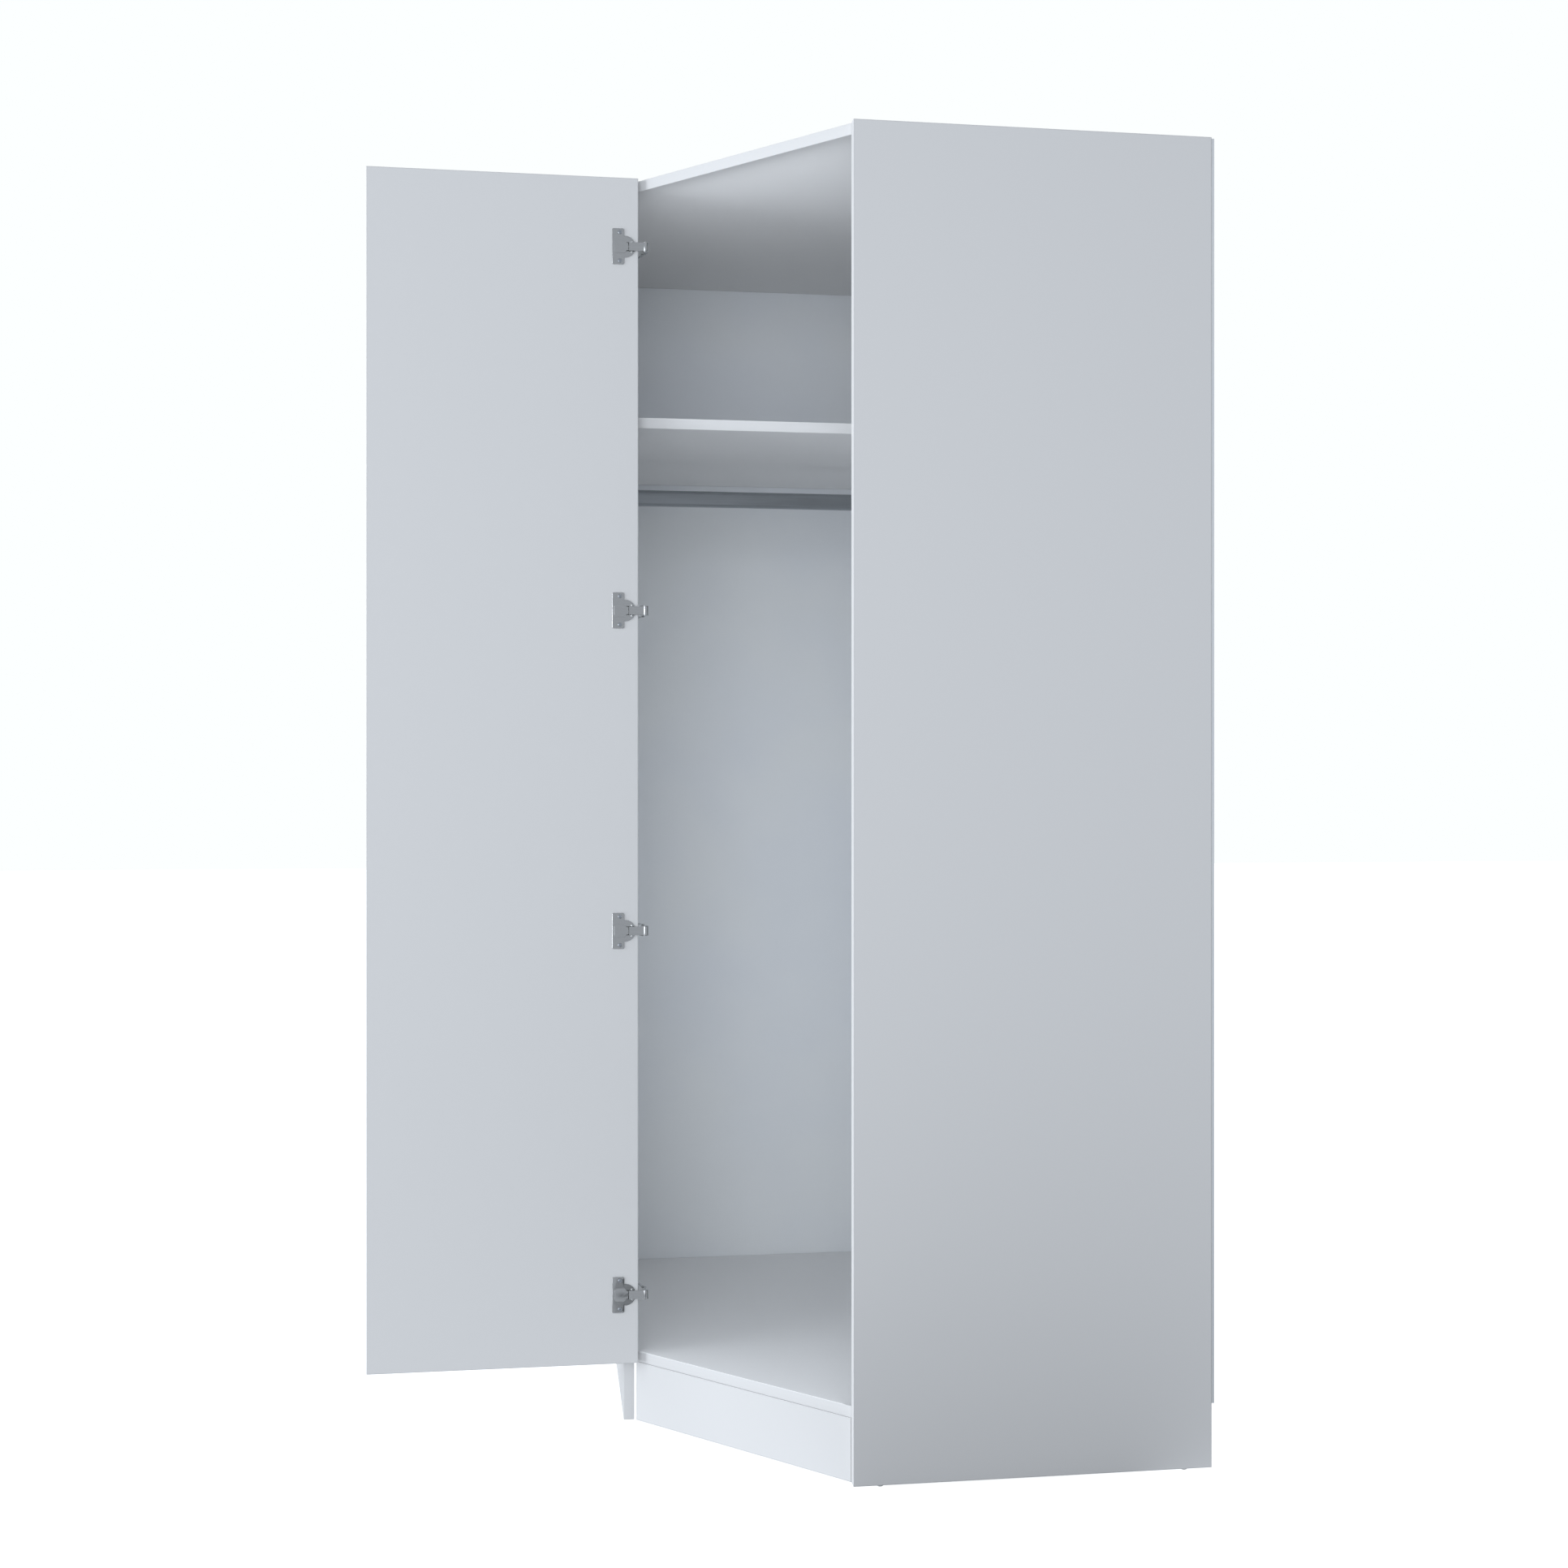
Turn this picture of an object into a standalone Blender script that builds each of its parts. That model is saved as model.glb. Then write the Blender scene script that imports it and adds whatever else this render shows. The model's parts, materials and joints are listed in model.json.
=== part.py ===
"""Diagonal corner wardrobe: one tall cabinet for a room corner, with a single door across the cut-off corner.

Lengths are in metres, +Z is up. The boards are drawn in a plan frame whose origin is the front outer corner
of the right side board: X runs along that board towards the right-hand wall, Y runs towards the rear wall. An
empty moves everything so that the middle of the object's footprint, door open, lies at the world's origin.
"""

import math

import bmesh
import bpy
from mathutils import Matrix, Vector

# Carcass
BOARD_HEIGHT = 2.100  # side boards, without the glides
SIDE_DEPTH = 0.574
CORNER_CUT = 0.318  # how far the diagonal front cuts into each leg of the square plan
BOARD = 0.018
EDGE_ROUND = 0.0006
JOINT_GAP = 0.0003  # left between two pieces that touch

# Plinth, glides and floor
PLINTH_HEIGHT = 0.100
PLINTH_SEAM = 0.0006
PLINTH_GAP_LEFT = 0.0042
PLINTH_GAP_RIGHT = 0.0006
GLIDE_HEIGHT = 0.0035
GLIDE_RADIUS = 0.0052
GLIDE_SETBACK = 0.043

# Rear sheets and the rear corner
SHEET = 0.004
SHEET_GAP = 0.0006
SHEET_INSET = 0.001
SHEET_LIFT = 0.001  # above the plinth's height
SHEET_DROP = 0.002  # below the tops of the side boards
POST_WIDTH = 0.080
REAR_RAIL_HEIGHT = 0.100

# Shelf and hanging rail
SHELF_CLEAR_HEIGHT = 0.380  # between the shelf and the top board
SHELF_SETBACK = 0.004
SHELF_PIN_RADIUS = 0.0025
SHELF_PIN_LENGTH = 0.018
SHELF_PIN_HOLE_DEPTH = 0.010
SHELF_PIN_INSET = 0.050
RAIL_HEIGHT = 0.030
RAIL_THICKNESS = 0.015
RAIL_WALL = 0.0012
RAIL_DROP = 0.058  # from the shelf's underside to the rail's top
SOCKET_WALL = 0.004
SOCKET_DEPTH = 0.014
SOCKET_BASE = 0.003

# Door
DOOR_SIDE_GAP = 0.00085
DOOR_CLOSED_GAP = 0.0033  # behind the closed door
DOOR_OPEN_GAP = 0.006  # between the open door and the left side's front edge
DOOR_SWING_GAP = 0.0004  # between the open door's outer corner and the floor's and top's front edges
DOOR_TOP_REVEAL = 0.001
DOOR_BOTTOM_REVEAL = 0.0035
DOOR_EDGE_ROUND = 0.001
DOOR_SWING = 135.0  # degrees from closed to fully open

# Hinges: where they sit
HINGE_FROM_END = 0.116
MIDDLE_HINGE_SPACING = 0.539
CUP_FROM_EDGE = 0.022

# Hinge cups
CUP_BORE_RADIUS = 0.0175
CUP_BORE_DEPTH = 0.012
CUP_WALL = 0.001
CUP_RIM = 0.0008
FLANGE_WIDTH = 0.0205
FLANGE_HEIGHT = 0.0605
FLANGE_THICKNESS = 0.0012
FLANGE_START = 0.0013  # from the cup's centre
FLANGE_CORNER = 0.0028
COVER_LENGTH = 0.0242
COVER_WIDTH = 0.0222
COVER_START = -0.0057  # from the cup's centre
COVER_RISE = 0.0020
COVER_CORNER = 0.0045

# Screws in the flange
SCREW_SPACING = 0.048
SCREW_OFFSET = 0.0086  # from the cup's centre
SCREW_HEAD_RADIUS = 0.0033
SCREW_SHOULDER_RADIUS = 0.0030
SCREW_CROWN_RADIUS = 0.0018
SCREW_SHANK_RADIUS = 0.0015
SCREW_LENGTH = 0.013
SCREW_SHOULDER_RISE = 0.0006
SCREW_HEAD_RISE = 0.0011
SCREW_SLOT_HALF = 0.00045
SCREW_SLOT_DEPTH = 0.0007

# Hinge linkage
PIN_RADIUS = 0.0013
PIVOT_GAP = 0.0003
CUP_PIVOT_FROM_EDGE = CUP_FROM_EDGE - 0.0117  # so its pin stays inside the cup
CUP_PIVOT_RISE = 0.0005  # above the door's inner face
ARM_PIVOT = (0.014, -0.011)  # from the left side's inner front corner
LINK_PIVOT_FROM_DOOR = (0.01207, 0.0025)  # past the open door's edge, and proud of its inner face
LINK_HALF_HEIGHT = 0.0070
LINK_THICKNESS = 0.0024
BARREL_RADIUS = 0.0024  # the inner link's roll round the cup's pin
KNUCKLE_RADIUS = 0.0028  # the inner link's far end, and the outer link's ends
NECK_OVERLAP = 0.0004  # of the barrel's neck with the strip
STRIP_CORNER = 0.0008
STRIP_TAIL_GAP = 0.0007  # between the strip's tail and the cup's cover
OPEN_PIVOT_PLAY = 0.0014  # between the knuckle and the outer link's web, at the pivot that is left open
CHEEK = 0.0010

# Hinge arms
ARM_HEIGHT = 0.0048  # of its rear, off the mounting plate
ARM_LENGTH = 0.072  # behind the arm's pivot
ARM_SHEET = 0.0012
ARM_BODY_FROM_EDGE = 0.012  # where the full height starts, behind the side's front edge
ARM_CHIN = 0.008  # how much later its lower edge starts
ARM_WEB_SETBACK = 0.002
ARM_NOSE_HALF = 0.0024
ARM_NOSE_REACH = 0.001  # past the pivot
ARM_EAR_RADIUS = 0.0026
STUB_PROUD = 0.0005

# Mounting plates
PLATE_THICKNESS = 0.0025
PLATE_FROM_EDGE = 0.037  # its screws, behind the side's front edge
PLATE_FRONT = 0.020  # from its screws
PLATE_REAR = 0.030
PLATE_STRIP_HALF = 0.0080
PLATE_STRIP_CORNER = 0.003
PLATE_WING_HALF = 0.0085
PLATE_WING_REACH = 0.0085  # past its screws
PLATE_WING_CORNER = 0.008
PLATE_SCREW_SPACING = 0.032
PLATE_SCREW_RADIUS = 0.0022
PLATE_SCREW_DEPTH = 0.012  # of its hole
PLATE_SCREW_TIP_GAP = 0.001
PLATE_SCREW_HEAD_RADIUS = 0.0038
PLATE_SCREW_HEAD_RISE = 0.0008

# How many flat sides a round piece has
ROUND_SIDES = 32
SMALL_SIDES = 16
PIN_SIDES = 12

for old in list(bpy.data.objects):
    bpy.data.objects.remove(old, do_unlink=True)

# Sizes that follow from the ones above
WIDTH = BOARD + CORNER_CUT + SIDE_DEPTH
BASE_Z = GLIDE_HEIGHT
TOP_Z = BASE_Z + BOARD_HEIGHT
FLOOR_Z = BASE_Z + PLINTH_HEIGHT
CLEAR_TOP_Z = TOP_Z - BOARD
SHELF_Z = CLEAR_TOP_Z - SHELF_CLEAR_HEIGHT - BOARD
LEFT_FACE_X = -CORNER_CUT
LEFT_FRONT_Y = BOARD + CORNER_CUT
REAR_X = SIDE_DEPTH
REAR_Y = WIDTH
SHELF_FRONT_Y = LEFT_FRONT_Y + SHELF_SETBACK
RAIL_Y = (SHELF_FRONT_Y + REAR_Y) / 2
RAIL_Z = SHELF_Z - RAIL_DROP - RAIL_HEIGHT / 2

# The closed door spans the opening between the two inner front corners, along the diagonal.
DIAGONAL = math.sqrt(0.5)
OPENING = CORNER_CUT / DIAGONAL
DOOR_WIDTH = OPENING - 2 * DOOR_SIDE_GAP
DOOR_BOTTOM_Z = FLOOR_Z + DOOR_BOTTOM_REVEAL
DOOR_TOP_Z = TOP_Z - DOOR_TOP_REVEAL

# The door turns about an axis inside its own thickness. AXIS_DEPTH is the axis's depth below the inner face
# and AXIS_FROM_EDGE its distance from the hinge edge. Two conditions set them: the open door ends
# DOOR_OPEN_GAP in front of the left side, and its outer corner, which swings in towards the front edges,
# stops DOOR_SWING_GAP short of them.
OPEN_SUM = DOOR_OPEN_GAP + BOARD - DIAGONAL * (DOOR_SIDE_GAP + DOOR_CLOSED_GAP)
CORNER_SUM = DIAGONAL * BOARD + DOOR_OPEN_GAP / DIAGONAL - DOOR_SIDE_GAP - DOOR_SWING_GAP
AXIS_FROM_EDGE = ((1 + DIAGONAL) * CORNER_SUM - DIAGONAL * OPEN_SUM) / (1 + 2 * DIAGONAL)
AXIS_DEPTH = ((1 + DIAGONAL) * OPEN_SUM - DIAGONAL * CORNER_SUM) / (1 + 2 * DIAGONAL)
AXIS_X = LEFT_FACE_X + DIAGONAL * (DOOR_SIDE_GAP + AXIS_FROM_EDGE - DOOR_CLOSED_GAP - AXIS_DEPTH)
AXIS_Y = LEFT_FRONT_Y - DIAGONAL * (DOOR_SIDE_GAP + AXIS_FROM_EDGE + DOOR_CLOSED_GAP + AXIS_DEPTH)

DOOR_MIDDLE_Z = (DOOR_BOTTOM_Z + DOOR_TOP_Z) / 2
OUTER_HINGE_REACH = (DOOR_TOP_Z - DOOR_BOTTOM_Z) / 2 - HINGE_FROM_END
HINGE_HEIGHTS = {
    "bottom": DOOR_MIDDLE_Z - OUTER_HINGE_REACH,
    "lower": DOOR_MIDDLE_Z - MIDDLE_HINGE_SPACING / 2,
    "upper": DOOR_MIDDLE_Z + MIDDLE_HINGE_SPACING / 2,
    "top": DOOR_MIDDLE_Z + OUTER_HINGE_REACH,
}

# The footprint with the door open, which the origin is centred on
FOOTPRINT_LEFT = AXIS_X + AXIS_FROM_EDGE - DOOR_WIDTH
FOOTPRINT_RIGHT = REAR_X + SHEET_GAP + SHEET
FOOTPRINT_REAR = REAR_Y + SHEET_GAP + SHEET


def finish(name, colour, roughness, metallic=0.0):
    """A Principled material. The colour is linear RGB."""
    made = bpy.data.materials.new(name)
    made.use_nodes = True
    shader = made.node_tree.nodes["Principled BSDF"]
    shader.inputs["Base Color"].default_value = (*colour, 1.0)
    shader.inputs["Roughness"].default_value = roughness
    shader.inputs["Metallic"].default_value = metallic
    return made


WHITE_MELAMINE = finish("white melamine", (0.80, 0.81, 0.83), 0.38)
HARDBOARD = finish("white hardboard", (0.72, 0.73, 0.75), 0.55)
NICKEL = finish("nickel plate", (0.48, 0.49, 0.50), 0.30, 1.0)
ZINC = finish("zinc plate", (0.62, 0.64, 0.66), 0.32, 1.0)
CHROME = finish("chrome plate", (0.60, 0.61, 0.63), 0.18, 1.0)
PLASTIC = finish("white plastic", (0.78, 0.78, 0.76), 0.45)


def empty(name, place, parent=None, turn=0.0):
    made = bpy.data.objects.new(name, None)
    bpy.context.collection.objects.link(made)
    made.parent = parent
    made.location = place
    made.rotation_euler = (0.0, 0.0, math.radians(turn))
    return made


def node(name, mesh, material, parent, place=(0.0, 0.0, 0.0), smooth=False):
    """One piece, as an object of its own."""
    made = bpy.data.objects.new(name, mesh)
    bpy.context.collection.objects.link(made)
    if not mesh.materials:
        mesh.materials.append(material)
    if smooth:
        mesh.shade_smooth()
        mesh.set_sharp_from_angle(angle=math.radians(35))
    made.parent = parent
    made.location = place
    return made


# Extrusion directions: an outline is drawn in the first two axes and runs along the third.
ALONG_Z = Matrix.Identity(3)
ALONG_Y = Matrix(((1, 0, 0), (0, 0, 1), (0, 1, 0)))  # outline in X and Z
ALONG_X = Matrix(((0, 0, 1), (1, 0, 0), (0, 1, 0)))  # outline in Y and Z


def prism(outline, low, high, direction=ALONG_Z):
    """A mesh: the outline extruded from low to high."""
    shape = bmesh.new()
    ring = [shape.verts.new(direction @ Vector((u, v, low))) for u, v in outline]
    face = shape.faces.new(ring)
    grown = bmesh.ops.extrude_face_region(shape, geom=[face])
    moved = [item for item in grown["geom"] if isinstance(item, bmesh.types.BMVert)]
    bmesh.ops.translate(shape, vec=direction @ Vector((0, 0, high - low)), verts=moved)
    bmesh.ops.recalc_face_normals(shape, faces=shape.faces)
    mesh = bpy.data.meshes.new("prism")
    shape.to_mesh(mesh)
    shape.free()
    return mesh


def bevelled(mesh, radius):
    """Rounds every edge of a convex board."""
    shape = bmesh.new()
    shape.from_mesh(mesh)
    bmesh.ops.bevel(
        shape, geom=shape.edges[:], offset=radius, segments=2, profile=0.5, affect="EDGES", clamp_overlap=True
    )
    bmesh.ops.recalc_face_normals(shape, faces=shape.faces)
    shape.to_mesh(mesh)
    shape.free()
    return mesh


def rectangle(low, high):
    return [(low[0], low[1]), (high[0], low[1]), (high[0], high[1]), (low[0], high[1])]


def circle(centre, radius, sides=ROUND_SIDES):
    turns = [2 * math.pi * (i + 0.5) / sides for i in range(sides)]
    return [(centre[0] + radius * math.cos(a), centre[1] + radius * math.sin(a)) for a in turns]


def rounded(outline, radii, steps=4):
    """The outline with each corner replaced by an arc. radii is one number, or one for each corner."""
    if isinstance(radii, float):
        radii = [radii] * len(outline)
    points = []
    for i, corner in enumerate(outline):
        here = Vector(corner)
        back = (Vector(outline[i - 1]) - here).normalized()
        ahead = (Vector(outline[(i + 1) % len(outline)]) - here).normalized()
        if radii[i] <= 0:
            points.append(tuple(here))
            continue
        half = back.angle(ahead) / 2
        middle = here + (back + ahead).normalized() * (radii[i] / math.sin(half))
        start = here + back * (radii[i] / math.tan(half)) - middle
        end = here + ahead * (radii[i] / math.tan(half)) - middle
        sweep = start.angle_signed(end)
        for k in range(steps + 1):
            turn = -sweep * k / steps
            arm = Vector(
                (
                    start.x * math.cos(turn) - start.y * math.sin(turn),
                    start.x * math.sin(turn) + start.y * math.cos(turn),
                )
            )
            points.append(tuple(middle + arm))
    return points


def swept(first, second, first_radius, second_radius, steps=8):
    """The outline of two circles and the straight lines that touch both."""
    a = Vector(first)
    b = Vector(second)
    heading = math.atan2(b.y - a.y, b.x - a.x)
    lean = math.acos((first_radius - second_radius) / (b - a).length)
    points = []
    for k in range(steps + 1):
        turn = heading - lean + 2 * lean * k / steps
        points.append((b.x + second_radius * math.cos(turn), b.y + second_radius * math.sin(turn)))
    for k in range(steps + 1):
        turn = heading + lean + (2 * math.pi - 2 * lean) * k / steps
        points.append((a.x + first_radius * math.cos(turn), a.y + first_radius * math.sin(turn)))
    return points


def helper(mesh):
    """An object that only shapes another: it is never drawn."""
    made = bpy.data.objects.new("helper", mesh)
    bpy.context.collection.objects.link(made)
    made.hide_render = True
    made.display_type = "WIRE"
    return made


def carved(mesh, steps):
    """The mesh after a list of Boolean steps, each ("UNION" or "DIFFERENCE", mesh)."""
    work = helper(mesh)
    others = []
    for operation, other in steps:
        tool = helper(other)
        others.append(tool)
        step = work.modifiers.new(operation, "BOOLEAN")
        step.operation = operation
        step.object = tool
    bpy.context.view_layer.update()
    graph = bpy.context.evaluated_depsgraph_get()
    result = bpy.data.meshes.new_from_object(work.evaluated_get(graph))
    result.materials.clear()
    for tool in [work, *others]:
        bpy.data.objects.remove(tool, do_unlink=True)
    return result


cabinet = empty("cabinet_frame", (-(FOOTPRINT_LEFT + FOOTPRINT_RIGHT) / 2, -FOOTPRINT_REAR / 2, 0.0))


# Side boards. The left one carries the hinge plates and two shelf pins, so it is drilled for them.
def side_right():
    outline = rectangle((0.0, 0.0), (SIDE_DEPTH, BOARD))
    node("side_right", bevelled(prism(outline, BASE_Z, TOP_Z), EDGE_ROUND), WHITE_MELAMINE, cabinet)


PLATE_SCREW_Y = LEFT_FRONT_Y + PLATE_FROM_EDGE
SHELF_PIN_Z = SHELF_Z - JOINT_GAP - SHELF_PIN_RADIUS
SHELF_PIN_PLACES = {
    "front": SHELF_FRONT_Y + SHELF_PIN_INSET,
    "rear": REAR_Y - SHELF_PIN_INSET,
}


def side_left():
    outline = rectangle((LEFT_FACE_X - BOARD, LEFT_FRONT_Y), (LEFT_FACE_X, REAR_Y))
    board = bevelled(prism(outline, BASE_Z, TOP_Z), EDGE_ROUND)
    holes = []
    for height in HINGE_HEIGHTS.values():
        for side in (-1, 1):
            place = (PLATE_SCREW_Y, height + side * PLATE_SCREW_SPACING / 2)
            outline = circle(place, PLATE_SCREW_RADIUS + JOINT_GAP, PIN_SIDES)
            holes.append(prism(outline, LEFT_FACE_X - PLATE_SCREW_DEPTH, LEFT_FACE_X + BOARD, ALONG_X))
    for y in SHELF_PIN_PLACES.values():
        outline = circle((y, SHELF_PIN_Z), SHELF_PIN_RADIUS + JOINT_GAP, PIN_SIDES)
        holes.append(prism(outline, LEFT_FACE_X - SHELF_PIN_HOLE_DEPTH, LEFT_FACE_X + BOARD, ALONG_X))
    mesh = carved(board, [("DIFFERENCE", hole) for hole in holes])
    node("side_left", mesh, WHITE_MELAMINE, cabinet)


# Top and floor: one five-sided outline, set between the sides, with its front edge on the diagonal.
def plan_outline(gap):
    return [
        (-gap, BOARD + gap),
        (REAR_X, BOARD + gap),
        (REAR_X, REAR_Y),
        (LEFT_FACE_X + gap, REAR_Y),
        (LEFT_FACE_X + gap, LEFT_FRONT_Y - gap),
    ]


def top_board():
    mesh = bevelled(prism(plan_outline(JOINT_GAP), CLEAR_TOP_Z, TOP_Z), EDGE_ROUND)
    node("top_board", mesh, WHITE_MELAMINE, cabinet)


def floor_board():
    mesh = bevelled(prism(plan_outline(JOINT_GAP), FLOOR_Z, FLOOR_Z + BOARD), EDGE_ROUND)
    node("floor_board", mesh, WHITE_MELAMINE, cabinet)


# Plinth board, under the floor's front edge. Its ends are cut square.
def plinth():
    turn = Matrix.Rotation(math.radians(-45), 2)
    start = Vector((LEFT_FACE_X, LEFT_FRONT_Y))
    square = rectangle((PLINTH_GAP_LEFT, 0.0), (OPENING - PLINTH_GAP_RIGHT, BOARD))
    outline = [tuple(start + turn @ Vector(point)) for point in square]
    mesh = bevelled(prism(outline, BASE_Z, FLOOR_Z - PLINTH_SEAM), EDGE_ROUND)
    node("plinth", mesh, WHITE_MELAMINE, cabinet)


# Rear corner: a foot under the floor, a post above it, and a cross rail that carries the shelf's right end.
POST_X = REAR_X - POST_WIDTH
POST_Y = REAR_Y - BOARD


def rear_corner():
    outline = rectangle((POST_X, POST_Y), (REAR_X, REAR_Y))
    foot = bevelled(prism(outline, BASE_Z, FLOOR_Z - JOINT_GAP), EDGE_ROUND)
    node("rear_foot", foot, WHITE_MELAMINE, cabinet)
    post = bevelled(prism(outline, FLOOR_Z + BOARD + JOINT_GAP, CLEAR_TOP_Z - JOINT_GAP), EDGE_ROUND)
    node("rear_post", post, WHITE_MELAMINE, cabinet)
    outline = rectangle((REAR_X - BOARD, BOARD + JOINT_GAP), (REAR_X, POST_Y - JOINT_GAP))
    rail = prism(outline, SHELF_Z - JOINT_GAP - REAR_RAIL_HEIGHT, SHELF_Z - JOINT_GAP)
    node("rear_rail", bevelled(rail, EDGE_ROUND), WHITE_MELAMINE, cabinet)


# Rear sheets, planted on the rear edges of the boards.
def rear_sheets():
    low = FLOOR_Z + SHEET_LIFT
    high = TOP_Z - SHEET_DROP
    near = REAR_Y + SHEET_GAP
    outline = rectangle((LEFT_FACE_X - BOARD + SHEET_INSET, near), (REAR_X + SHEET_GAP + SHEET, near + SHEET))
    node("rear_sheet_left", prism(outline, low, high), HARDBOARD, cabinet)
    near = REAR_X + SHEET_GAP
    outline = rectangle((near, SHEET_INSET), (near + SHEET, REAR_Y))
    node("rear_sheet_right", prism(outline, low, high), HARDBOARD, cabinet)


# Hat shelf: a rectangle notched round the rear post.
def shelf():
    outline = [
        (LEFT_FACE_X + JOINT_GAP, SHELF_FRONT_Y),
        (REAR_X, SHELF_FRONT_Y),
        (REAR_X, POST_Y - JOINT_GAP),
        (POST_X - JOINT_GAP, POST_Y - JOINT_GAP),
        (POST_X - JOINT_GAP, REAR_Y),
        (LEFT_FACE_X + JOINT_GAP, REAR_Y),
    ]
    mesh = bevelled(prism(outline, SHELF_Z, SHELF_Z + BOARD), EDGE_ROUND)
    node("hat_shelf", mesh, WHITE_MELAMINE, cabinet)
    pin = prism(circle((0.0, 0.0), SHELF_PIN_RADIUS, PIN_SIDES), 0.0, SHELF_PIN_LENGTH, ALONG_X)
    for name, y in SHELF_PIN_PLACES.items():
        x = LEFT_FACE_X - SHELF_PIN_HOLE_DEPTH + JOINT_GAP
        node(f"shelf_pin_{name}", pin, ZINC, cabinet, (x, y, SHELF_PIN_Z), smooth=True)


# Hanging rail: an oval tube in two open sockets.
def oval(height, thickness, steps=8):
    """A flat-sided oval, standing on its narrow end, in Y and Z."""
    radius = thickness / 2
    straight = height / 2 - radius
    return swept((0.0, -straight), (0.0, straight), radius, radius, steps)


def hanging_rail():
    left = LEFT_FACE_X + JOINT_GAP
    right = REAR_X - BOARD - JOINT_GAP
    start = left + SOCKET_BASE + JOINT_GAP
    end = right - SOCKET_BASE - JOINT_GAP
    hollow = oval(RAIL_HEIGHT - 2 * RAIL_WALL, RAIL_THICKNESS - 2 * RAIL_WALL)
    tube = carved(
        prism(oval(RAIL_HEIGHT, RAIL_THICKNESS), start, end, ALONG_X),
        [("DIFFERENCE", prism(hollow, start - BOARD, end + BOARD, ALONG_X))],
    )
    node("hanging_rail", tube, CHROME, cabinet, (0.0, RAIL_Y, RAIL_Z), smooth=True)
    outer = oval(RAIL_HEIGHT + 2 * SOCKET_WALL, RAIL_THICKNESS + 2 * SOCKET_WALL)
    pocket = oval(RAIL_HEIGHT + 2 * JOINT_GAP, RAIL_THICKNESS + 2 * JOINT_GAP)
    for name, wall, side in (("left", left, 1), ("right", right, -1)):
        spans = sorted((0.0, side * SOCKET_DEPTH))
        pocket_spans = sorted((side * SOCKET_BASE, side * 2 * SOCKET_DEPTH))
        socket = carved(
            prism(outer, *spans, ALONG_X), [("DIFFERENCE", prism(pocket, *pocket_spans, ALONG_X))]
        )
        node(f"rail_socket_{name}", socket, CHROME, cabinet, (wall, RAIL_Y, RAIL_Z), smooth=True)


# Glides: plastic nail-on discs under the sides and the rear foot.
def glides():
    middle = BOARD / 2
    places = {
        "right_front": (GLIDE_SETBACK, middle),
        "right_rear": (SIDE_DEPTH - GLIDE_SETBACK, middle),
        "left_front": (LEFT_FACE_X - middle, LEFT_FRONT_Y + GLIDE_SETBACK),
        "left_rear": (LEFT_FACE_X - middle, REAR_Y - GLIDE_SETBACK),
        "corner": (REAR_X - POST_WIDTH / 2, REAR_Y - middle),
    }
    disc = prism(circle((0.0, 0.0), GLIDE_RADIUS, SMALL_SIDES), 0.0, GLIDE_HEIGHT - JOINT_GAP)
    for name, (x, y) in places.items():
        node(f"glide_{name}", disc, PLASTIC, cabinet, (x, y, 0.0), smooth=True)


# Everything on the door hangs from this empty on its axis. In the door's own frame X runs from the axis
# towards the free edge and Y points out of the inner face, so the door is drawn once, whichever way it turns.
door_axis = empty("door_axis", (AXIS_X, AXIS_Y, 0.0), cabinet, turn=-45.0 - DOOR_SWING)
DOOR_FACE_Y = AXIS_DEPTH
CUP_X = CUP_FROM_EDGE - AXIS_FROM_EDGE
CUP_SCREWS_X = CUP_X + SCREW_OFFSET


def door():
    outline = rectangle(
        (-AXIS_FROM_EDGE, DOOR_FACE_Y - BOARD), (DOOR_WIDTH - AXIS_FROM_EDGE, DOOR_FACE_Y)
    )
    board = bevelled(prism(outline, DOOR_BOTTOM_Z, DOOR_TOP_Z), DOOR_EDGE_ROUND)
    holes = []
    for height in HINGE_HEIGHTS.values():
        outline = circle((CUP_X, height), CUP_BORE_RADIUS)
        holes.append(prism(outline, DOOR_FACE_Y - CUP_BORE_DEPTH, DOOR_FACE_Y + BOARD, ALONG_Y))
        for side in (-1, 1):
            place = (CUP_SCREWS_X, height + side * SCREW_SPACING / 2)
            outline = circle(place, SCREW_SHANK_RADIUS + JOINT_GAP, PIN_SIDES)
            holes.append(prism(outline, DOOR_FACE_Y - SCREW_LENGTH, DOOR_FACE_Y + BOARD, ALONG_Y))
    mesh = carved(board, [("DIFFERENCE", hole) for hole in holes])
    node("door", mesh, WHITE_MELAMINE, door_axis)


# Hinge cup: a steel cup in the door with a rim, a screw flange on the far side and a raised cover.
# Its own frame has the cup's centre, on the door's inner face, as origin.
FLANGE_TOP = JOINT_GAP + FLANGE_THICKNESS


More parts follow.
